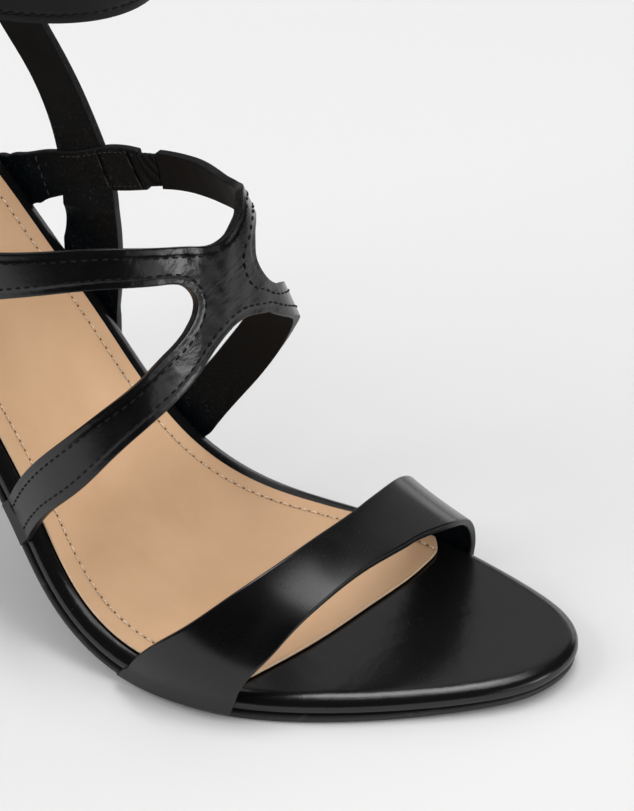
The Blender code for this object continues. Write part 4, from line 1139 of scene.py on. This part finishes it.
# %% Ankle loop
ANKLE_X, ANKLE_Z, ANKLE_TILT = 0.058, 0.1452, -9.0
ANKLE_LONG, ANKLE_WIDE = 0.044, 0.030
ANKLE_HEIGHT, ANKLE_THICK = 0.0130, 0.0020
SIDE_ANGLE, QUARTER_WIDTH, WIRE = 121.0, 0.0122, 0.0015
QUARTER = np.array([
    [0.00, -0.030, 0.570, 0.000], [0.12, 0.005, 0.570, 0.165], [0.24, 0.065, 0.550, 0.290],
    [0.34, 0.158, 0.470, 0.300], [0.43, 0.262, 0.430, 0.235], [0.50, 0.356, 0.420, 0.135],
    [0.57, 0.466, 0.420, 0.028], [0.68, 0.645, 0.450, -0.062], [0.83, 0.870, 0.490, -0.190],
    [1.00, 1.000, 0.500, 0.000],
])
DOWN_UPPER = np.array([
    [0.606, 0.122], [0.638, 0.084], [0.657, 0.056], [0.674, 0.037], [0.690, 0.021],
    [0.703, 0.008], [0.713, 0.000], [0.725, -0.035],
])
DOWN_LOWER = np.array([
    [0.577, 0.104], [0.600, 0.073], [0.614, 0.057], [0.630, 0.038], [0.643, 0.023],
    [0.654, 0.010], [0.662, 0.000], [0.670, -0.035],
])
STAND_OFF = np.array([
    [-190.0, 1.175], [-154.0, 1.175], [-149.0, 0.800], [-145.0, 0.300], [-141.0, 0.000],
    [200.0, 0.000],
])


def loop_point(angle, out, up):
    """A place on the ankle loop: an ellipse moved outward, on a plane that tilts forward."""
    angle, out, up = np.broadcast_arrays(angle, out, up)
    a = np.radians(angle)
    nx, ny = np.cos(a) / ANKLE_LONG, np.sin(a) / ANKLE_WIDE
    size = np.hypot(nx, ny)
    x = ANKLE_X + ANKLE_LONG * np.cos(a) + nx / size * out
    y = ANKLE_WIDE * np.sin(a) + ny / size * out
    z = ANKLE_Z + np.tan(np.radians(ANKLE_TILT)) * (x - ANKLE_X) + up
    return np.stack([x, y, z], -1)


def angle_step(angle, distance):
    """Degrees that match a distance round the loop."""
    a = np.radians(angle)
    return np.degrees(distance / np.hypot(ANKLE_LONG * np.sin(a), ANKLE_WIDE * np.cos(a)))


def stand_off(angle):
    """How far the strap stands off the loop where its end climbs over the bar."""
    rows = STAND_OFF
    at = np.clip(np.searchsorted(rows[:, 0], angle) - 1, 0, len(rows) - 2)
    t = smooth((angle - rows[at, 0]) / (rows[at + 1, 0] - rows[at, 0]))
    return ANKLE_THICK * (rows[at, 1] + (rows[at + 1, 1] - rows[at, 1]) * t)


def add_ankle_strap():
    """Rows round the loop, columns up the strap; the free end is a half round."""
    angles = np.concatenate([np.linspace(200, -130, 260), np.linspace(-131, -177, 60),
                             -184 + 7 * (1 - np.linspace(0.1, 1, 14)) ** 1.6])
    tip = np.clip((angles + 184.0) / 8.0, 0, 1)
    half = ANKLE_HEIGHT / 2 * np.sqrt(np.clip(1 - (1 - tip) ** 2, 0.05, 1))
    up = ANKLE_HEIGHT / 2 + half[:, None] * np.linspace(-1, 1, 15)
    grid = loop_point(angles[:, None], stand_off(angles)[:, None], up)
    piece = new_piece("ankle_strap_look", grid, grid_faces(len(angles), 15),
                      [ANKLE, LINING, EDGE])
    mark_strap(piece, long_edges(grid), crease=0.10, pebble_and_glints=0.4)
    return thicken(piece, ANKLE_THICK, ring=True)


def ankle_seam(name, up):
    """Stitches round the loop, on its outer face."""
    angles = np.linspace(196, -179, 500)
    out = stand_off(angles) + ANKLE_THICK
    path = loop_point(angles, out, up)
    normal = unit(loop_point(angles, out + 0.001, up) - path)
    return seam(name, path, normal, DARK_THREAD)


finish_piece(add_ankle_strap(), "ankle_strap", "ankle_strap")
finish_piece(ankle_seam("ankle_seam_low", STITCH_INSET), "ankle_strap")
finish_piece(ankle_seam("ankle_seam_high", ANKLE_HEIGHT - STITCH_INSET), "ankle_strap")


# %% Upright side straps
QUARTER_FOOT = 0.580      # share along the sole
QUARTER_REACH = {1: 0.299, -1: 0.322}   # inner and outer foot, as shares of the ball
WALL_ROWS = 4 / 23        # share of the climb that follows the board's wall
FOOT_BOW = 0.0044         # four times how far the strap bows out just above the board


def quarter_grid(side, rows=110, cols=15):
    """A line from the sole to the loop, with a width across it. Below the first sixth the
    columns run straight down the board's wall."""
    x0, z0, _ = sole(QUARTER_FOOT)
    y0 = BALL * QUARTER_REACH[side] + GAP
    angle = SIDE_ANGLE * side
    top = loop_point(angle, 1.45 * ANKLE_THICK, 0.31 * ANKLE_HEIGHT)
    facing = loop_point(angle, 1.0, 0.0) - loop_point(angle, 0.0, 0.0)
    facing[2] = 0.0
    facing = unit(facing)
    climb = np.linspace(0, 1, rows)
    reach = spline(QUARTER[:, 0], QUARTER[:, 1], climb)
    half = spline(QUARTER[:, 0], QUARTER[:, 2], climb) * QUARTER_WIDTH
    out = spline(QUARTER[:, 0], QUARTER[:, 3], climb) * QUARTER_WIDTH
    line = np.column_stack([x0 + (top[0] - x0) * reach,
                            side * (y0 + (abs(top[1]) - y0) * climb + out * (1 - climb ** 6)),
                            z0 + (top[2] - z0) * climb])
    tangent = unit(np.gradient(line, axis=0))
    turn = smooth((climb - 0.45) / 0.5)[:, None]
    normal = np.array([0.0, side, 0.0]) * (1 - turn) + facing * turn
    wide = unit(np.cross(normal, tangent))
    wide *= np.sign(wide[:, :1])
    grid = line[:, None] + wide[:, None] * half[:, None, None] * np.linspace(-1, 1, cols)[:, None]
    start = int(np.ceil(WALL_ROWS * (rows - 1)))
    share = np.linspace(0.40, 0.75, 1401)
    wall = side * edges(share)[0 if side > 0 else 1]
    wx, wz, slope = sole(share)
    fx, fz = wx - np.sin(slope) * WALL, wz - np.cos(slope) * WALL
    x = grid[start, :, 0]
    foot = np.stack([x, side * (np.interp(x, fx[::-1], wall[::-1]) + GAP),
                     np.interp(x, fx[::-1], fz[::-1])], -1)
    edge = np.stack([x, side * (np.interp(x, wx[::-1], wall[::-1]) + GAP),
                     np.interp(x, wx[::-1], wz[::-1])], -1)
    t = np.linspace(0, 1, start + 1)[1:-1, None, None]
    rise = edge + (grid[start] - edge) * t
    rise[..., 1] += side * FOOT_BOW * (t * (1 - t))[..., 0]
    down = foot + (edge - foot) * np.linspace(0, 1, 6)[:, None, None]
    return np.concatenate([down, rise, grid[start:]])


def grid_line(grid, inset, side):
    """A line along a strap's grid, inset from its first (side 0) or last column."""
    width = np.linalg.norm(grid[:, -1] - grid[:, 0], axis=1)
    w = inset / width if side == 0 else 1 - inset / width
    k = w * (grid.shape[1] - 1)
    i = np.clip(np.floor(k).astype(int), 0, grid.shape[1] - 2)
    part = (k - i)[:, None]
    rows = np.arange(len(grid))
    line = grid[rows, i] * (1 - part) + grid[rows, i + 1] * part
    normal = unit(np.cross(np.gradient(line, axis=0), grid[:, -1] - grid[:, 0]))
    return line, normal


def dress(piece, grid, pebble_and_glints=None):
    """Marks of a side strap. Unless a pebbling is given, its lining is pebbled, and specked with
    painted highlights, low down only.
    """
    low = 1 - smooth((vertices(piece)[:, 2] - 0.075) / 0.030)
    return mark_strap(piece, long_edges(grid), 0.05, low if pebble_and_glints is None else pebble_and_glints)


def sleeve(name, angle, width, inner, outer, thick):
    """A flat tube round the ankle strap: a rounded box section swept along the loop."""
    e, r = 0.0004, 0.0007
    low, high = -e, ANKLE_HEIGHT + e
    a = np.radians(np.linspace(0, 90, 5))
    ring = []
    for cx, cy, turn in ((outer - r, high - r, 0), (inner + r, high - r, 90),
                         (inner + r, low + r, 180), (outer - r, low + r, 270)):
        b = a + np.radians(turn)
        ring.append(np.column_stack([cx + r * np.cos(b), cy + r * np.sin(b)]))
    section = np.concatenate(ring)
    cols = np.linspace(-0.5, 0.5, 13) * angle_step(angle, width) + angle
    grid = loop_point(cols[None, :], section[:, :1], section[:, 1:])
    piece = new_piece(name, grid, grid_faces(len(section), 13, loop_rows=True),
                      [OUTER, LINING, EDGE])
    mark_strap(piece, long_edges(grid), crease=0.05, pebble_and_glints=0.3)
    return thicken(piece, thick, 0.0004, ring=True)


def down_grid(mirror, first, rows=70):
    """The strap from the side crossing down and back to the sole, as places on the form."""
    place = leg(side_curve(DOWN_UPPER, first, 1, rows), side_curve(DOWN_LOWER, first, 1, rows))
    turn = 1 - place[..., 1] if mirror else place[..., 1]
    return form(place[..., 0], turn)


# %% Both side straps with their sleeves
for word, side, first in (("medial", 1, 0.0), ("lateral", -1, 0.20)):
    node = word + "_quarter"
    grid = quarter_grid(side)
    upright = new_piece(word + "_upright", grid, grid_faces(*grid.shape[:2]),
                        [OUTER, LINING, EDGE])
    finish_piece(thicken(dress(upright, grid), LEATHER), node, node)
    down = down_grid(side < 0, first)
    if side > 0:
        medial_down = down
    strap = new_piece(word + "_down_strap", down, grid_faces(*down.shape[:2]),
                      [OUTER, LINING, EDGE])
    finish_piece(thicken(dress(strap, down, pebble_and_glints=1.0), LEATHER), node)
    loop = sleeve(word + "_sleeve", SIDE_ANGLE * side, QUARTER_WIDTH + 0.001, -0.0004,
                  ANKLE_THICK + 0.0004, 0.0016)
    finish_piece(loop, node)
    for edge_side in (0, 1):
        path, normal = grid_line(grid, STITCH_INSET, edge_side)
        normal = normal * np.sign((normal[:, 1:2] * side).mean())
        upright_seam = seam(f"{word}_seam_{edge_side}", (path + normal * LEATHER)[10:-6],
                            normal[10:-6], DARK_THREAD)
        finish_piece(upright_seam, node)


# %% [markdown]
# ## Joint lines inside the tab
# Inside the inner side strap, two soft ridges and rows of worn stitches show where its tab is
# folded and sewn down. A second layer could be modelled, but it would be thinner than the roll
# of the edges, so these lines are thin tubes half sunk in the lining.

# %% Joint lines inside the medial side strap
JOINT_LIFT = 0.00018      # the lines' middle over the lining
TAB_SEAM_INSET = 0.0012


def joint_line(name, high, low, material, **settings):
    """Stitches across the strap's inner face, between a row at its upper edge and one at its
    lower edge, both as shares of the strap's length."""
    rows, cols = len(medial_down), medial_down.shape[1]
    across = np.linspace(0.04, 0.96, 30)
    r, c = (high + (low - high) * across) * (rows - 1), across * (cols - 1)
    i, j = r.astype(int), c.astype(int)
    u, v = (r - i)[:, None], (c - j)[:, None]
    path = ((medial_down[i, j] * (1 - u) + medial_down[i + 1, j] * u) * (1 - v)
            + (medial_down[i, j + 1] * (1 - u) + medial_down[i + 1, j + 1] * u) * v)
    normal = np.broadcast_to([0.0, -1.0, 0.0], path.shape)
    return seam(name, path + normal * JOINT_LIFT, normal, material, **settings)


GREY_THREAD = thread("worn black thread", (0.045, 0.046, 0.050), 0.60)
FOLD = dict(pitch=0.005, share=1.02, radius=0.00032, rise=0.0)
finish_piece(joint_line("medial_tab_fold", 0.10, 0.04, OUTER, **FOLD), "medial_quarter")
finish_piece(joint_line("medial_tab_end", 0.31, 0.33, OUTER, **FOLD), "medial_quarter")
finish_piece(joint_line("medial_tab_seam", 0.70, 0.79, GREY_THREAD, pitch=0.0017,
                        radius=0.00016), "medial_quarter")
for edge_side in (0, 1):
    path, normal = grid_line(medial_down, TAB_SEAM_INSET, edge_side)
    inside = -normal * np.sign(normal[:, 1:2].mean())
    finish_piece(seam(f"medial_tab_edge_{edge_side}", path[2:40], inside[2:40], GREY_THREAD,
                      pitch=0.0014, radius=0.00011, rise=0.00004), "medial_quarter")


# %% [markdown]
# ## Elastic gore
# A short elastic lets the foot slip in. It is butted between the end of the inner instep leg
# and the side tab, so its corners are the last and first places of those straps' curves.

# %% Elastic gore
ROUND_ARCH = 0.23         # about the way round the arch, for one unit of turn
BUTT_GAP = 0.0002


def add_gore():
    """A ribbed sheet butted between the instep strap's end and the side tab."""
    front_up, front_low = SIDE_REAR[-1], SIDE_INNER[-1]
    back_up, back_low = DOWN_UPPER[0], DOWN_LOWER[0]
    scale = np.array([LENGTH, ROUND_ARCH])
    step_up, step_low = (way / np.hypot(*(way * scale)) * BUTT_GAP
                         for way in (back_up - front_up, back_low - front_low))
    corners = [front_up + step_up, front_low + step_low, back_up - step_up, back_low - step_low]
    v = np.linspace(0.08, 0.90, 21)[:, None, None]
    t = np.linspace(0, 1, 41)[None, :, None]
    places = ((corners[0] * (1 - v) + corners[1] * v) * (1 - t)
              + (corners[2] * (1 - v) + corners[3] * v) * t)
    grid, normal = form(places[..., 0], places[..., 1], 0.0004, with_normal=True)
    ribs = 0.00012 * np.sin(t[..., 0] * np.pi * 2 * 9)
    grid = grid + normal * ribs[..., None]
    piece = new_piece("elastic_gore_look", grid, grid_faces(21, 41), [ELASTIC])
    uv = piece.data.uv_layers.new(name="rib")
    loops = np.empty(len(piece.data.loops), int)
    piece.data.loops.foreach_get("vertex_index", loops)
    points = vertices(piece)
    start, end = grid[:, 0].mean(0), grid[:, -1].mean(0)
    along = (points - start) @ unit(end - start)
    uv.data.foreach_set("uv", np.column_stack([along[loops] * 700, 0 * along[loops]]).ravel())
    solid = piece.modifiers.new("thickness", "SOLIDIFY")
    solid.thickness, solid.offset = 0.0010, 0.0
    return piece


finish_piece(add_gore(), "elastic_gore", "elastic_gore")

# %% [markdown]
# ## Buckle, prong and keeper
# The pin buckle is bent wire. Its frame is a rounded square swept by a circle, and the prong
# hooks round the inner bar and rests on the outer one.


# %% Wires
def tube(name, points, radius, material, closed, sides=14):
    """A circle carried along points with a frame that turns as little as it can."""
    points = np.asarray(points, float)
    if closed:
        tangent = unit(np.roll(points, -1, 0) - np.roll(points, 1, 0))
    else:
        tangent = unit(np.gradient(points, axis=0))
    radial = unit(points - points.mean(0)) if closed else np.tile([0.0, 0.0, 1.0], (len(points), 1))
    up = unit(radial - tangent * (radial * tangent).sum(1, keepdims=True))
    other = np.cross(tangent, up)
    turn = np.linspace(0, 2 * np.pi, sides, endpoint=False)
    size = np.broadcast_to(radius, len(points))[:, None, None]
    rings = points[:, None] + size * (np.cos(turn)[None, :, None] * up[:, None]
                                      + np.sin(turn)[None, :, None] * other[:, None])
    if not closed:
        return loft(name, rings, material)
    return new_piece(name, rings, grid_faces(len(points), sides, loop_rows=True,
                                             loop_cols=True), [material])


FRAME_SQUARE = 0.45       # 1 would be an ellipse, less is squarer
FRAME_BOW = 0.0018        # how far the frame's side bars arch away from the foot


def add_buckle():
    """The frame's two bars lie at near and far, in degrees round the loop. The prong's rows
    are degrees round the loop, millimetres out and radius in millimetres."""
    near, far = -156.5, -137.0
    rail = ANKLE_HEIGHT / 2 + WIRE / 2 + 0.0007
    near_out, far_out = ANKLE_THICK / 2, ANKLE_THICK + GAP + WIRE / 2 + 0.0002
    a = 2 * np.pi * (np.arange(120) + 0.5) / 120
    across = np.sign(np.cos(a)) * np.abs(np.cos(a)) ** FRAME_SQUARE
    tall = np.sign(np.sin(a)) * np.abs(np.sin(a)) ** FRAME_SQUARE
    t = (across + 1) / 2
    out = near_out + (far_out - near_out) * t + FRAME_BOW * 4 * t * (1 - t) * np.abs(tall)
    points = loop_point((near + far) / 2 + (far - near) / 2 * across, out,
                        ANKLE_HEIGHT / 2 + rail * tall)
    frame_piece = tube("buckle_frame_look", points, WIRE / 2, METAL, True)
    rows = np.array([
        [-153.2, 1.0, 0.50], [-151.5, 1.4, 0.55], [-149.8, 2.6, 0.55], [-148.2, 4.2, 0.55],
        [-146.0, 5.0, 0.55], [-142.0, 5.1, 0.55], [-138.0, 4.8, 0.52], [-135.6, 4.5, 0.45],
    ])
    fine = np.linspace(rows[0, 0], rows[-1, 0], 40)
    out, size = (0.001 * spline(rows[:, 0], rows[:, k], fine) for k in (1, 2))
    prong = tube("buckle_prong_look", loop_point(fine, out, ANKLE_HEIGHT / 2), size, METAL, False)
    return frame_piece, prong


buckle, prong = add_buckle()
finish_piece(buckle, "buckle_frame", "buckle_frame")
finish_piece(prong, "buckle_prong", "buckle_prong")
keeper = sleeve("strap_keeper_look", -167.0, 0.0050, -0.0005,
                (STAND_OFF[0, 1] + 1) * ANKLE_THICK + 0.0006, 0.0011)
finish_piece(keeper, "strap_keeper", "strap_keeper")

# %% [markdown]
# ## Floor, light and camera
# A wide pale floor carries the shoe. Its colour is painted darker with distance, a painted pool of
# light round the shoe. Black leather shows its form only by what it reflects, so the light is
# planned
# as reflections: a soft box and a strip over the shoe, a low panel and a wide dim glow in front of
# the toes, and dim walls on the far side and behind, with the near side left dark. Two fills and a
# wide sky that gloss doesn't see light the floor, the sock and what lies in shadow.


# %% Floor
# Painted pool of light: the floor's colour is PALE near the shoe and is painted down to DIM between
# FADE_FROM and FADE_TO.
PALE, DIM = (0.675, 0.675, 0.675), (0.20, 0.20, 0.20)
FADE_FROM, FADE_TO = 0.36, 0.85   # metres from the shoe


def add_floor(r=6.0):
    """A square of half width r, pale near the shoe and painted darker with distance from it: a
    painted pool of light.
    """
    mesh = bpy.data.meshes.new("floor")
    mesh.from_pydata([(-r, -r, 0), (r, -r, 0), (r, r, 0), (-r, r, 0)], [], [(0, 1, 2, 3)])
    floor = place_object("floor", mesh)
    s = Shader("floor with painted pool of light", Roughness=0.9, Specular_IOR_Level=0.0)
    away = s.node("ShaderNodeVectorMath", {"operation": "DISTANCE"}, s.place, (0.08, 0.02, 0.0),
                  out="Value")
    # Painted pool of light: pale near the shoe, painted darker with distance.
    s.feed(Base_Color=s.colors(s.between(away, FADE_FROM, FADE_TO), PALE, DIM))
    mesh.materials.append(s.material)
    return floor


print("floor in m:", tuple(add_floor().dimensions))

# %% Lights and world
CENTRE = (0.11, 0.0, 0.05)


def turned_lamp(name, lamp, direction, gloss):
    """Puts a lamp into the scene, shining along a direction."""
    item = place_object(name, lamp)
    item.rotation_mode = "QUATERNION"
    item.rotation_quaternion = direction.to_track_quat("-Z", "Y")
    item.visible_glossy = gloss
    return item


def area_light(name, place, size, radiance, gloss):
    """A rectangle lamp aimed at the shoe. Its power is radiance*pi*area, so radiance is what a
    mirror shows."""
    lamp = bpy.data.lights.new(name, "AREA")
    lamp.shape = "RECTANGLE"
    lamp.size, lamp.size_y = size
    lamp.energy = radiance * np.pi * lamp.size * lamp.size_y
    turned_lamp(name, lamp, Vector(CENTRE) - Vector(place), gloss).location = place


def from_shoe(azimuth, elevation, distance, centre=CENTRE):
    """A place seen from the shoe at an azimuth from +X and an elevation, in degrees."""
    a, e = np.radians(azimuth), np.radians(elevation)
    out = np.array([np.cos(a) * np.cos(e), np.sin(a) * np.cos(e), np.sin(e)])
    return tuple(np.array(centre) + distance * out)


# Azimuth, elevation and distance from the shoe, width, height, radiance, seen by gloss
LAMPS = {
    "soft box": (17, 74, 1.3, 0.50, 0.50, 3.9, True),
    "overhead strip": (100, 78, 1.3, 0.46, 0.46, 7.5, True),
    "low front panel": (5, 8, 1.4, 0.46, 0.28, 5.0, True),
    "low front glow": (-6, 12, 1.5, 1.10, 0.50, 1.1, True),
    "far wall": (112, 38, 1.8, 1.90, 1.00, 0.50, True),
    "far low card": (90, 9, 1.6, 1.00, 0.42, 1.5, True),
    "rear wall": (190, 25, 1.8, 1.40, 1.00, 0.30, True),
    "front fill": (0, 22, 1.2, 0.80, 0.80, 2.0, False),
    "side fill": (-140, 28, 1.3, 0.90, 0.90, 4.4, False),
}
for name, (azimuth, elevation, distance, width, height, radiance, gloss) in LAMPS.items():
    area_light(name, from_shoe(azimuth, elevation, distance), (width, height), radiance, gloss)


def wide_sun(name, azimuth, elevation, strength, angle):
    """Even light over the whole floor, from a wide patch of sky, unseen by gloss."""
    lamp = bpy.data.lights.new(name, "SUN")
    lamp.energy = strength
    lamp.angle = np.radians(angle)
    turned_lamp(name, lamp, -Vector(from_shoe(azimuth, elevation, 1.0, (0, 0, 0))), False)


wide_sun("even light", 20, 66, 1.48, 160)


def add_world():
    """Pale where the camera sees it, dim for gloss, so that the near side stays dark."""
    world = bpy.data.worlds.new("studio")
    world.use_nodes = True
    bpy.context.scene.world = world
    tree = world.node_tree
    back = tree.nodes["Background"]
    rays = tree.nodes.new("ShaderNodeLightPath")
    pick = tree.nodes.new("ShaderNodeMapRange")
    tree.links.new(rays.outputs["Is Camera Ray"], pick.inputs["Value"])
    pick.inputs["To Min"].default_value = 0.012
    pick.inputs["To Max"].default_value = 0.87
    tree.links.new(pick.outputs["Result"], back.inputs["Strength"])
    back.inputs["Color"].default_value = (1, 1, 1, 1)


add_world()
print("lamps:", len(bpy.data.lights))


# %% Camera
def add_camera():
    """Placed where the traced outline of the sole puts it."""
    data = bpy.data.cameras.new("camera")
    data.sensor_width = 36.0
    data.lens = 153.9
    camera = place_object("camera", data)
    camera.location = (0.4497, -0.5045, 0.4519)
    camera.rotation_mode = "QUATERNION"
    camera.rotation_quaternion = Vector((-0.4314, 0.7100, -0.5566)).to_track_quat("-Z", "Y")
    data.clip_start, data.clip_end = 0.01, 30.0
    bpy.context.scene.camera = camera
    return camera


print("camera at, in m:", [round(v, 3) for v in add_camera().location])
bpy.context.scene.view_settings.view_transform = "Standard"
